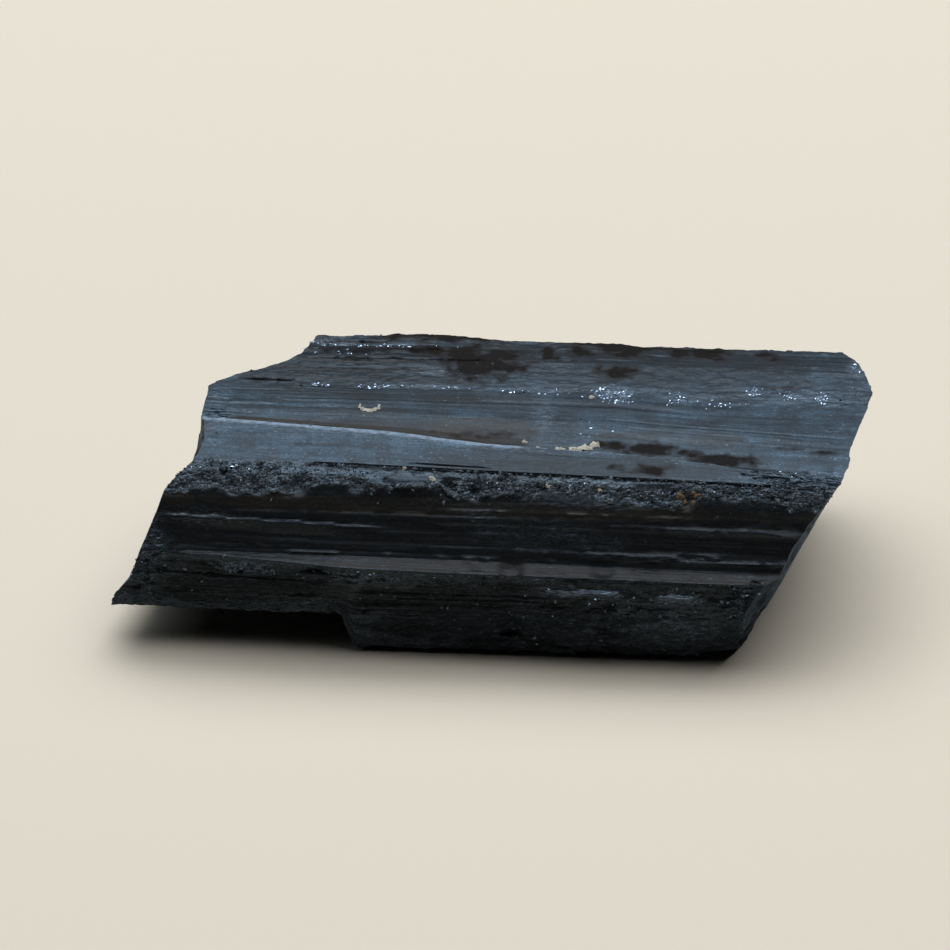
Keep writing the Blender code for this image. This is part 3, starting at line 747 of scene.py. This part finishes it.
def crystal_mesh(grid, looks):
    """The whole crystal as one closed mesh, with its looks as numbers on its points."""
    rows, columns = grid.shape[:2]
    points = [grid.reshape(-1, 3)]
    count = rows * columns
    faces = side_faces(rows, columns)
    for side, column, table in ((-1, 0, LEFT_BREAK), (1, columns - 1, RIGHT_BREAK)):
        added, closing = broken_end(side, grid[:, column], table)
        numbers = [row * columns + column for row in range(rows)]
        numbers += range(count, count + len(added))
        points.append(added)
        count += len(added)
        for face in closing:
            corners = [numbers[corner] for corner in face]
            faces.append(corners if side > 0 else corners[::-1])
    mesh = mesh_of("crystal", np.concatenate(points), faces)
    give_looks(mesh, looks)
    mesh.validate()
    mesh.shade_smooth()
    mesh.set_sharp_from_angle(angle=SHARP_ANGLE)
    return mesh


# ---- Loose-looking grains, lumps and flakes, all fast to the crystal ----

# The grains of the crumbly places: how many, their sizes, and how steeply small ones outnumber large ones.
GRAIN_SEED = 5
GRAIN_COUNT = 11000
GRAIN_SIZE = (0.09, 0.4)
GRAIN_BIAS = 3.0
GRAIN_SHAPE = (1.3, 1.0, 0.8)
GRAIN_SPREAD = (0.6, 1.15)  # how much each radius varies
GRAIN_BEND = (0.7, 1.15)  # how much each corner varies
GRAIN_TILT = 0.7
GRAIN_SINK = 0.25  # how deep a grain's middle lies, in its own radii
GRAIN_ZONES = [  # (first line, last line, how thickly grains cover the faces between them)
    ("front_top", "band_front", 1.0), ("lower_front", "ledge_inner", 0.14),
    ("foot_front", "lower_front", 0.04), ("crease", "back_band", 0.12), ("band_front", "crease", 0.02),
    ("back_edge", "rest_back", 0.12),
]

# Lumps of the pale rock that the crystal grew in, and of rust: (x, y, z, length, width). Each is made of some
# grains, which stray from its middle by shares of its length and width and are smaller towards its ends.
LUMP_SEED = 3
LUMP_GRAINS = 9
LUMP_STRAY = (0.4, 0.3)
LUMP_SIZE = (0.5, 0.75)
LUMP_TAPER = 1.2
LUMP_SHAPE = (1.1, 1.0, 0.5)
LUMP_BEND = (0.8, 1.1)
LUMP_TILT = 0.4
ROCK_LUMPS = [
    (5.2, -3.1, 13, 0.5, 0.3), (6.2, -3.15, 13, 0.9, 0.5), (7, -2.9, 13, 0.8, 0.5),
    (7.6, -2.5, 13, 0.5, 0.45), (7.2, 3.5, 13.3, 0.35, 0.3), (2.7, -2.4, 13, 0.4, 0.2),
    (3.7, -3.1, 13, 0.5, 0.2), (-3.6, -7, 12.5, 0.45, 0.25), (-5.6, -6.2, 12.7, 0.3, 0.2),
    (4.6, -7.3, 12.3, 0.3, 0.2), (8.2, -7.4, 12.2, 0.3, 0.2),
]
RUST_LUMPS = [(14.0, -7.75, 12.1, 0.7, 0.4), (14.9, -7.6, 12.1, 0.5, 0.3), (14.5, -7.95, 11.8, 0.5, 0.3)]

# A curved sliver of the same rock: its middle, its reach to each side and forward, its width at the ends and
# the middle, and its lumps: the first's place, the last's, how many there are, and the length of each.
CRESCENT = (-8.65, 1.55, 13.3)
CRESCENT_REACH = (0.72, 0.95)
CRESCENT_WIDTH = (0.12, 0.3)
CRESCENT_LUMPS = (0.05, 0.95, 26)
CRESCENT_LENGTH = 0.05

# Clusters of bright flakes: (x, y, z, half length, half width, count).
FLAKE_SEED = 17
FLAKE_SIZE = (0.04, 0.12)
FLAKE_SHAPE = (1.3, 1.0, 0.35)
FLAKE_BEND = (0.8, 1.1)
FLAKE_TILT = 0.45
FLAKE_LIFT = 0.15  # how far a flake's middle lies above the face, in its own size
FLAKE_CROWDING = 0.5  # how much of a cluster's half size its flakes usually stray by
TOP_HEIGHTS = (12.5, 13.5)  # clusters between these lie on the top and spread along Y, and the others along Z
FLAKES = [
    (-13.3, 10.2, 13, 1.5, 0.3, 8), (-9, 10, 13, 5, 0.25, 36), (-10.5, 8.9, 13.1, 3, 0.2, 10),
    (-12.7, 4.2, 13.1, 0.9, 0.25, 16), (-6, 4.2, 13.2, 4.5, 0.2, 18), (-9.2, 4.1, 13.2, 1.2, 0.2, 14),
    (3.3, 3.9, 13.2, 2.6, 0.4, 18), (8.8, 4, 13.2, 1.4, 0.8, 50), (9, 2.9, 13.2, 1.2, 0.3, 20),
    (13.4, 3.3, 13.2, 1.4, 0.9, 22), (16.4, 3.2, 13.2, 1.2, 0.8, 16), (18.7, 4.9, 13.1, 0.6, 0.6, 22),
    (21.3, 4.4, 13.1, 0.6, 0.8, 22), (23.6, 4.4, 13.1, 0.7, 1, 30), (26, 8.9, 13, 0.4, 0.9, 10),
    (-13, -1.4, 13.2, 1, 0.18, 34), (-10, -1.7, 13.2, 2, 0.15, 14), (6, -0.5, 13.2, 2.5, 2, 8),
    (-19, -6.6, 12.4, 3.5, 1, 10), (2, -7.3, 12.2, 5.5, 0.4, 10), (22.5, -5.6, 12.6, 3, 1.2, 14),
    (12, -7.3, 12.2, 6, 0.3, 8), (8, -11.4, 5.6, 4, 0.8, 10), (-8, -11.3, 7, 8, 0.4, 6),
    (-24.5, -10.2, 6.5, 1.2, 3, 6), (19, -11.2, 5, 1.4, 2.5, 5),
]

OCTAHEDRON = np.array([(1, 0, 0), (-1, 0, 0), (0, 1, 0), (0, -1, 0), (0, 0, 1), (0, 0, -1)], float)
OCTAHEDRON_FACES = [
    (0, 2, 4), (2, 1, 4), (1, 3, 4), (3, 0, 4), (2, 0, 5), (1, 2, 5), (3, 1, 5), (0, 3, 5),
]


def turned(outward, angle, tilt):
    """A frame whose third axis is near outward, turned about it by angle and leant over by tilt."""
    base = Vector((0.0, outward[0], outward[1])).to_track_quat("Z", "X").to_matrix()
    return base @ Matrix.Rotation(angle, 3, "Z") @ Matrix.Rotation(tilt, 3, "X")


def specks_mesh(name, specks):
    """One mesh of small angular bodies: each (middle, frame, radii, how far out each corner is, shade)."""
    points = []
    faces = []
    shades = []
    for middle, frame_axes, radii, bends, shade in specks:
        start = len(points)
        corners = OCTAHEDRON * radii * bends[:, None]
        points += (corners @ np.array(frame_axes.transposed()) + middle).tolist()
        faces += [tuple(start + corner for corner in face) for face in OCTAHEDRON_FACES]
        shades += [shade] * len(corners)
    mesh = mesh_of(name, np.array(points), faces)
    mesh.attributes.new("shade", "FLOAT", "POINT").data.foreach_set("value", shades)
    return mesh


def grain_places(chance, loop, grid, crumbly):
    """The rows and columns that the grains lie in, by how crumbly and how large each face is."""
    cover = np.zeros(len(loop.rows))
    for first, last, thickness in GRAIN_ZONES:
        start, end = LINE_NAMES.index(first), LINE_NAMES.index(last)
        cover[(loop.numbers >= start) & (loop.numbers < end)] = thickness
    steps = np.linalg.norm(np.roll(grid, -1, axis=0) - grid, axis=-1)
    weights = cover[:, None] * crumbly**2 * steps
    weights[:, -1] = 0.0
    picks = chance.choice(weights.size, GRAIN_COUNT, p=weights.reshape(-1) / weights.sum())
    return [divmod(int(pick), grid.shape[1]) for pick in picks]


def grains(loop, grid, outward, looks):
    """Angular grains over the crumbly places."""
    chance = np.random.default_rng(GRAIN_SEED)
    low, high = GRAIN_SIZE
    made = []
    for row, column in grain_places(chance, loop, grid, looks["crumbly"]):
        share = chance.random()
        middle = grid[row, column] * (1.0 - share) + grid[row, column + 1] * share
        size = low + (high - low) * chance.random() ** GRAIN_BIAS
        radii = size / 2 * chance.uniform(*GRAIN_SPREAD, 3) * GRAIN_SHAPE
        out = outward[row, column]
        middle = middle - np.array((0.0, *out)) * radii[2] * GRAIN_SINK
        middle[2] = max(middle[2], size)
        frame_axes = turned(out, chance.uniform(0, math.tau), chance.uniform(-GRAIN_TILT, GRAIN_TILT))
        made.append((middle, frame_axes, radii, chance.uniform(*GRAIN_BEND, 6), chance.random()))
    return specks_mesh("grains", made)


def nearest(grid, outward, place):
    """The point of the skin that is nearest to a place, and the direction out of it."""
    index = np.unravel_index(np.sum((grid - place) ** 2, axis=-1).argmin(), grid.shape[:2])
    return grid[index], outward[index]


def lumps_of_rock(name, grid, outward, table):
    """Rounded lumps of rock, each made of several overlapping grains."""
    chance = np.random.default_rng(LUMP_SEED)
    stray_along, stray_across = LUMP_STRAY
    made = []
    for x, y, z, length, width in table:
        for _ in range(LUMP_GRAINS):
            along_it = chance.uniform(-stray_along, stray_along)
            across = chance.uniform(-stray_across, stray_across)
            middle, out = nearest(grid, outward, (x + along_it * length, y + across * width, z))
            size = width * chance.uniform(*LUMP_SIZE) * (LUMP_TAPER - abs(along_it))
            frame_axes = turned(out, chance.uniform(0, math.tau), chance.uniform(-LUMP_TILT, LUMP_TILT))
            radii = size * np.array(LUMP_SHAPE)
            made.append((middle, frame_axes, radii, chance.uniform(*LUMP_BEND, 6), chance.random()))
    return specks_mesh(name, made)


def crescent_rows():
    """The lumps that make up the curved sliver, thin at its ends."""
    x, y, z = CRESCENT
    reach_x, reach_y = CRESCENT_REACH
    thin, thick = CRESCENT_WIDTH
    made = []
    for angle in np.linspace(*CRESCENT_LUMPS) * math.pi:
        width = thin + (thick - thin) * math.sin(angle) ** 2
        place = (x - reach_x * math.cos(angle), y - reach_y * math.sin(angle), z)
        made.append((*place, CRESCENT_LENGTH, width))
    return made


def flakes(grid, outward):
    """Tiny bright flakes, nearly flat on the faces."""
    chance = np.random.default_rng(FLAKE_SEED)
    lowest, highest = TOP_HEIGHTS
    made = []
    for x, y, z, half_length, half_width, count in FLAKES:
        on_top = lowest < z < highest
        for _ in range(count):
            off_x, off_across = chance.normal(0.0, FLAKE_CROWDING, 2) * (half_length, half_width)
            place = (x + off_x, y + off_across * on_top, z + off_across * (not on_top))
            middle, out = nearest(grid, outward, place)
            size = chance.uniform(*FLAKE_SIZE)
            tilt = chance.normal(0.0, FLAKE_TILT)
            frame_axes = turned(out, chance.uniform(0, math.tau), tilt)
            middle = middle + np.array((0.0, *out)) * size * FLAKE_LIFT
            radii = size * np.array(FLAKE_SHAPE)
            made.append((middle, frame_axes, radii, chance.uniform(*FLAKE_BEND, 6), chance.random()))
    return specks_mesh("flakes", made)


def linked(name, data):
    """A new object in the scene with this mesh, light or camera."""
    made = bpy.data.objects.new(name, data)
    bpy.context.scene.collection.objects.link(made)
    return made


# ---- Materials ----

# The blue in the sheen colour, in the greys of grains and pale marks, in the flakes and in the shine's tint
# is painted: the blue of the light from above, put into colours and reflections, as the lamps are nearly
# white.
BLACK = (0.0145, 0.0143, 0.014, 1.0)
PAINTED_SHEEN = (0.068, 0.121, 0.178, 1.0)  # the blue-grey of the faces that look up: mostly painted sheen, the reflection of the light from above put as colour, over a thin haze
# The colour of the stains, and of the dark streaks that paint shade in grooves.
BROWN_BLACK = (0.022, 0.018, 0.0155, 1.0)
BROWN_TINGE = (0.034, 0.03, 0.024, 1.0)
# The colour of the painted shade on the lower faces.
SHADE_BLACK = (0.0048, 0.0046, 0.004, 1.0)
GRAIN_GREY = (0.075, 0.105, 0.14, 1.0)
PALE_GREY = (0.15, 0.2, 0.26, 1.0)
IOR = 1.64
SHINE = 0.25  # half of what a glassy face of this mineral has, because the faces are weathered
SHINE_TINT = (0.7, 0.85, 1.0, 1.0)

# Small bodies: (darkest colour, lightest colour, (roughness of the darkest, of the lightest), metallic).
GRAIN_LOOK = ((0.012, 0.013, 0.014, 1.0), (0.12, 0.155, 0.19, 1.0), (0.7, 0.5), 0.0)
ROCK_LOOK = ((0.32, 0.3, 0.25, 1.0), (0.6, 0.58, 0.52, 1.0), (0.8, 0.7), 0.0)
RUST_LOOK = ((0.06, 0.035, 0.015, 1.0), (0.22, 0.14, 0.07, 1.0), (0.8, 0.6), 0.0)
FLAKE_LOOK = ((0.14, 0.2, 0.3, 1.0), (0.6, 0.76, 1.0, 1.0), (0.5, 0.2), 1.0)

# The noises of the crystal's material: (length along X, width across, detail), with lengths in millimetres.
NOISES = {
    "streaks": (3.0, 0.12, 3.0), "dust": (0.16, 0.12, 4.0), "powder": (0.16, 0.16, 3.0),
    "specks": (0.3, 0.24, 2.0), "threads": (6.0, 0.2, 3.0), "broad": (9.0, 0.9, 3.0),
    "clouds": (2.4, 1.8, 5.0), "across": (0.7, 3.0, 3.0), "bands": (14.0, 0.5, 3.0),
    "glint_lines": (3.5, 0.045, 2.0), "ragged": (1.1, 0.9, 4.0), "frayed": (0.5, 0.09, 4.0),
    "lines": (5.0, 0.07, 2.0),
}
HAZE = [  # what thins the painted sheen: (noise, its value where it thins most, where it stops, what it leaves)
    ("clouds", 0.36, 0.64, 0.4), ("bands", 0.35, 0.65, 0.6), ("across", 0.35, 0.65, 0.75),
    ("threads", 0.35, 0.65, 0.65), ("powder", 0.35, 0.65, 0.4),
]
RAGGED = (0.3, 0.7, -0.4, 0.4)  # from a noise to how far it moves the edge of a stain or a streak


class Nodes:
    """A short way to build a material's nodes."""

    def __init__(self, name):
        self.material = bpy.data.materials.new(name)
        self.material.use_nodes = True
        self.tree = self.material.node_tree
        self.shader = self.tree.nodes["Principled BSDF"]

    def set(self, socket, value):
        """Sets an input to a number or colour, or links another node's output to it."""
        if isinstance(value, bpy.types.NodeSocket):
            self.tree.links.new(value, socket)
        else:
            socket.default_value = value

    def set_all(self, node, inputs):
        """Sets a node's inputs by name, where _ stands for a space."""
        for name, value in inputs.items():
            self.set(node.inputs[name.replace("_", " ")], value)

    def add(self, kind, settings=None, **inputs):
        """A node with these settings and inputs."""
        node = self.tree.nodes.new(kind)
        for name, value in (settings or {}).items():
            setattr(node, name, value)
        self.set_all(node, inputs)
        return node

    def finished(self, **inputs):
        """The material, once the shader's own inputs are set."""
        self.set_all(self.shader, inputs)
        return self.material

    def attribute(self, name):
        """The numbers of this name on the mesh's points."""
        return self.add("ShaderNodeAttribute", {"attribute_name": name}).outputs["Fac"]

    def math(self, operation, first, second):
        """Two numbers worked together, kept from 0 to 1."""
        node = self.add("ShaderNodeMath", {"operation": operation, "use_clamp": True})
        self.set(node.inputs[0], first)
        self.set(node.inputs[1], second)
        return node.outputs[0]

    def times(self, first, second):
        """Two numbers multiplied."""
        return self.math("MULTIPLY", first, second)

    def plus(self, first, second):
        """Two numbers added."""
        return self.math("ADD", first, second)

    def most(self, first, second):
        """The larger of two numbers."""
        return self.math("MAXIMUM", first, second)

    def mix(self, factor, first, second):
        """A colour between two."""
        node = self.add("ShaderNodeMix", {"data_type": "RGBA"})
        self.set(node.inputs[0], factor)
        self.set(node.inputs[6], first)
        self.set(node.inputs[7], second)
        return node.outputs[2]

    def ramp(self, factor, low, high, start=0.0, end=1.0):
        """A number that goes from start to end as factor goes from low to high."""
        span = {"Value": factor, "From_Min": low, "From_Max": high, "To_Min": start, "To_Max": end}
        return self.add("ShaderNodeMapRange", {"clamp": True}, **span).outputs[0]

    def noise(self, length, width, detail):
        """Noise in lumps of this length along X and this width across, in millimetres."""
        coordinates = self.add("ShaderNodeTexCoord").outputs["Object"]
        scale = (1 / (length * MM), 1 / (width * MM), 1 / (width * MM))
        place = self.add("ShaderNodeMapping", Vector=coordinates, Scale=scale).outputs[0]
        return self.add("ShaderNodeTexNoise", Vector=place, Scale=1.0, Detail=detail).outputs["Fac"]


def hazy_painted_sheen(n, noises):
    """How thick the painted sheen is: cloudy, banded and powdery."""
    hazy = n.attribute("painted_sheen")
    for name, low, high, least in HAZE:
        hazy = n.times(hazy, n.ramp(noises[name], low, high, least))
    return hazy


def pale_marks(n, noises):
    """How pale wear and painted highlights make the crystal: pale streaks and patches, edges, specks and
    painted glint lines.
    """
    painted_sheen, dust, powder = n.attribute("painted_sheen"), noises["dust"], noises["powder"]
    marks = n.ramp(n.plus(n.attribute("pale"), n.ramp(noises["frayed"], *RAGGED)), 0.25, 1.0)
    marks = n.most(marks, n.times(n.attribute("wear_and_highlight"), n.ramp(painted_sheen, 0.0, 1.0, 0.1, 0.15)))
    marks = n.times(marks, n.ramp(dust, 0.3, 0.6, 0.6))
    speckled = n.times(noises["specks"], n.ramp(painted_sheen, 0.0, 0.6, 0.85))
    marks = n.most(marks, n.ramp(speckled, 0.64, 0.74, 0.0, 0.5))
    # Fine pale lines along the faces, painted as glints.
    glint_lined = n.times(n.ramp(noises["glint_lines"], 0.56, 0.72, 0.0, 0.3), n.ramp(powder, 0.4, 0.6, 0.2))
    return n.most(marks, n.times(glint_lined, 0.6))


def crystal_colour(n, noises, stain_and_shade):
    """Black under the painted sheen, with grey crumbled places, a brown tinge, painted shade, pale wear and
    painted highlights, then stains and painted-shade streaks over it.
    """
    dust, broad = noises["dust"], noises["broad"]
    colour = n.mix(hazy_painted_sheen(n, noises), BLACK, PAINTED_SHEEN)
    colour = n.mix(n.times(n.attribute("crumbly"), n.ramp(dust, 0.38, 0.64)), colour, GRAIN_GREY)
    brown_mottle = n.ramp(n.times(broad, n.ramp(dust, 0.3, 0.6, 0.6)), 0.15, 0.55, 0.3)
    colour = n.mix(n.times(n.attribute("brown"), brown_mottle), colour, BROWN_TINGE)
    colour = n.mix(n.times(n.attribute("painted_shade"), n.ramp(broad, 0.25, 0.75, 0.6)), colour, SHADE_BLACK)
    colour = n.mix(pale_marks(n, noises), colour, PALE_GREY)
    return n.mix(n.times(stain_and_shade, n.ramp(dust, 0.25, 0.6, 0.72, 0.97)), colour, BROWN_BLACK)


def dullness(n, stain_and_shade):
    """The metallic input, which over such dark colours takes the shine off stains, the painted-shade streaks
    and places, and the faces that get no painted sheen.
    """
    dull = n.most(n.times(stain_and_shade, 0.9), n.ramp(n.attribute("painted_sheen"), 0.0, 0.6, 0.9, 0.0))
    return n.most(dull, n.ramp(n.attribute("painted_shade"), 0.6, 1.0, 0.6, 0.98))


def fine_relief(n, noises):
    """The lines and the grain that are too fine for the mesh."""
    lines = n.add("ShaderNodeBump", Strength=0.4, Distance=0.01 * MM, Height=noises["lines"])
    strength = n.ramp(n.attribute("crumbly"), 0.0, 1.0, 0.3, 0.9)
    grain = n.add("ShaderNodeBump", Strength=strength, Distance=0.03 * MM, Height=noises["dust"])
    n.set(grain.inputs["Normal"], lines.outputs[0])
    return grain.outputs[0]


def schorl():
    """Black tourmaline: striated, dull where stained, grainy where crumbled, with painted sheen where it
    looks up, painted shade below and in grooves, and pale wear and painted highlights.
    """
    n = Nodes("schorl")
    noises = {name: n.noise(*sizes) for name, sizes in NOISES.items()}
    stained = n.ramp(n.plus(n.attribute("stained"), n.ramp(noises["ragged"], *RAGGED)), 0.25, 0.85)
    # Stains, and the dark streaks that paint shade in grooves, are coloured and dulled alike.
    stain_and_shade = n.most(stained, n.attribute("dark"))
    rough = n.ramp(noises["streaks"], 0.25, 0.75, 0.42, 0.54)
    return n.finished(
        Base_Color=crystal_colour(n, noises, stain_and_shade),
        Roughness=n.plus(rough, n.times(stained, 0.35)),
        Metallic=dullness(n, stain_and_shade),
        Normal=fine_relief(n, noises),
        IOR=IOR,
        Specular_IOR_Level=SHINE,
        Specular_Tint=SHINE_TINT,
    )


def speck(name, dark, light, roughness, metallic):
    """A material for small bodies, from a dark colour to a light one by each one's own shade."""
    n = Nodes(name)
    shade = n.attribute("shade")
    mottle = n.ramp(n.noise(0.12, 0.12, 2.0), 0.3, 0.6, 0.5)
    return n.finished(
        Base_Color=n.mix(n.times(shade, mottle), dark, light),
        Roughness=n.ramp(shade, 0.0, 1.0, *roughness),
        Metallic=metallic,
        IOR=IOR,
        Specular_IOR_Level=SHINE,
        Specular_Tint=SHINE_TINT,
    )


# ---- Stage ----

CAMERA_AZIMUTH = math.radians(3.5)
CAMERA_ELEVATION = math.radians(32.0)
CAMERA_DISTANCE = 0.4
CAMERA_TARGET = Vector((-1.2 - MIDDLE[0], 3.1 - MIDDLE[1], 6.5)) * MM
CAMERA_CLIP = 0.01
SENSOR = 36.0
PIXELS = 950
PIXELS_PER_MM = 13.8  # at the target

FLOOR_SIDE = 3.0
FLOOR_COLOUR = (0.7, 0.645, 0.55, 1.0)
FLOOR_ROUGHNESS = 0.9
FLOOR_SHINE = 0.2

# Large soft panels: (name, azimuth, elevation, distance, width, height, watts, colour).
LIGHTS = [
    ("overhead", 165, 74, 0.8, 1.1, 1.0, 7.9, (1.0, 1.0, 1.0)),
    ("window", 184, 58, 0.8, 1.0, 0.5, 2.9, (0.9, 0.96, 1.0)),
    ("side", 265, 40, 0.9, 0.7, 0.5, 0.9, (0.85, 0.94, 1.0)),
]


def towards(azimuth, elevation):
    """The direction from the crystal, with azimuth 0 to the front and 90 to the right."""
    level = math.cos(elevation)
    return Vector((math.sin(azimuth) * level, -math.cos(azimuth) * level, math.sin(elevation)))


def aimed(thing, place, target):
    """Puts an object at a place, looking at the target."""
    thing.location = place
    thing.rotation_euler = (target - place).to_track_quat("-Z", "Y").to_euler()


def camera():
    """The camera that the picture is taken with."""
    data = bpy.data.cameras.new("camera")
    data.sensor_width = SENSOR
    data.lens = SENSOR * PIXELS_PER_MM * CAMERA_DISTANCE / MM / PIXELS
    data.clip_start = CAMERA_CLIP
    made = linked("camera", data)
    place = CAMERA_TARGET + towards(CAMERA_AZIMUTH, CAMERA_ELEVATION) * CAMERA_DISTANCE
    aimed(made, place, CAMERA_TARGET)
    bpy.context.scene.camera = made


def soft_light(name, azimuth, elevation, distance, width, height, watts, colour):
    """A large soft panel that faces the crystal."""
    data = bpy.data.lights.new(name, "AREA")
    data.shape = "RECTANGLE"
    data.size = width
    data.size_y = height
    data.energy = watts
    data.color = colour
    place = towards(math.radians(azimuth), math.radians(elevation)) * distance
    aimed(linked(name, data), place, Vector((0.0, 0.0, 0.0)))


def floor():
    """A plain pale floor."""
    half = FLOOR_SIDE / 2
    corners = [(-half, -half, 0), (half, -half, 0), (half, half, 0), (-half, half, 0)]
    mesh = bpy.data.meshes.new("floor")
    mesh.from_pydata(corners, [], [(0, 1, 2, 3)])
    made = linked("floor", mesh)
    look = {"Base_Color": FLOOR_COLOUR, "Roughness": FLOOR_ROUGHNESS, "Specular_IOR_Level": FLOOR_SHINE}
    mesh.materials.append(Nodes("floor").finished(**look))


def surroundings():
    """A dark room round the lights, and colours shown as they are."""
    world = bpy.data.worlds.new("room")
    bpy.context.scene.world = world
    world.use_nodes = True
    world.node_tree.nodes["Background"].inputs["Strength"].default_value = 0.0
    bpy.context.scene.view_settings.view_transform = "Standard"


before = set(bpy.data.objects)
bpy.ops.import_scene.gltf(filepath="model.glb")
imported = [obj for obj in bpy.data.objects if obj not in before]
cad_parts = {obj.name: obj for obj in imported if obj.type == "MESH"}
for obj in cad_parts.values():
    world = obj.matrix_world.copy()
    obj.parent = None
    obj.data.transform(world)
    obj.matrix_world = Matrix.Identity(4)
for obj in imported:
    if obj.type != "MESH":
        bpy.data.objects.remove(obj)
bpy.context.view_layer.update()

loop = Loop()
grid, outward, looks = skin(loop)
crystal = linked("crystal", crystal_mesh(grid, looks))
crystal.data.materials.append(schorl())
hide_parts(NODE)
grain_piece = linked("grains", grains(loop, grid, outward, looks))
grain_piece.data.materials.append(speck("grains", *GRAIN_LOOK))
rock = linked("rock_lumps", lumps_of_rock("rock_lumps", grid, outward, ROCK_LUMPS + crescent_rows()))
rock.data.materials.append(speck("rock", *ROCK_LOOK))
rust = linked("rust_lumps", lumps_of_rock("rust_lumps", grid, outward, RUST_LUMPS))
rust.data.materials.append(speck("rust", *RUST_LOOK))
flake_piece = linked("flakes", flakes(grid, outward))
flake_piece.data.materials.append(speck("flakes", *FLAKE_LOOK))
for piece in (crystal, grain_piece, rock, rust, flake_piece):
    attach(piece, "root")

camera()
floor()
surroundings()
for light in LIGHTS:
    soft_light(*light)
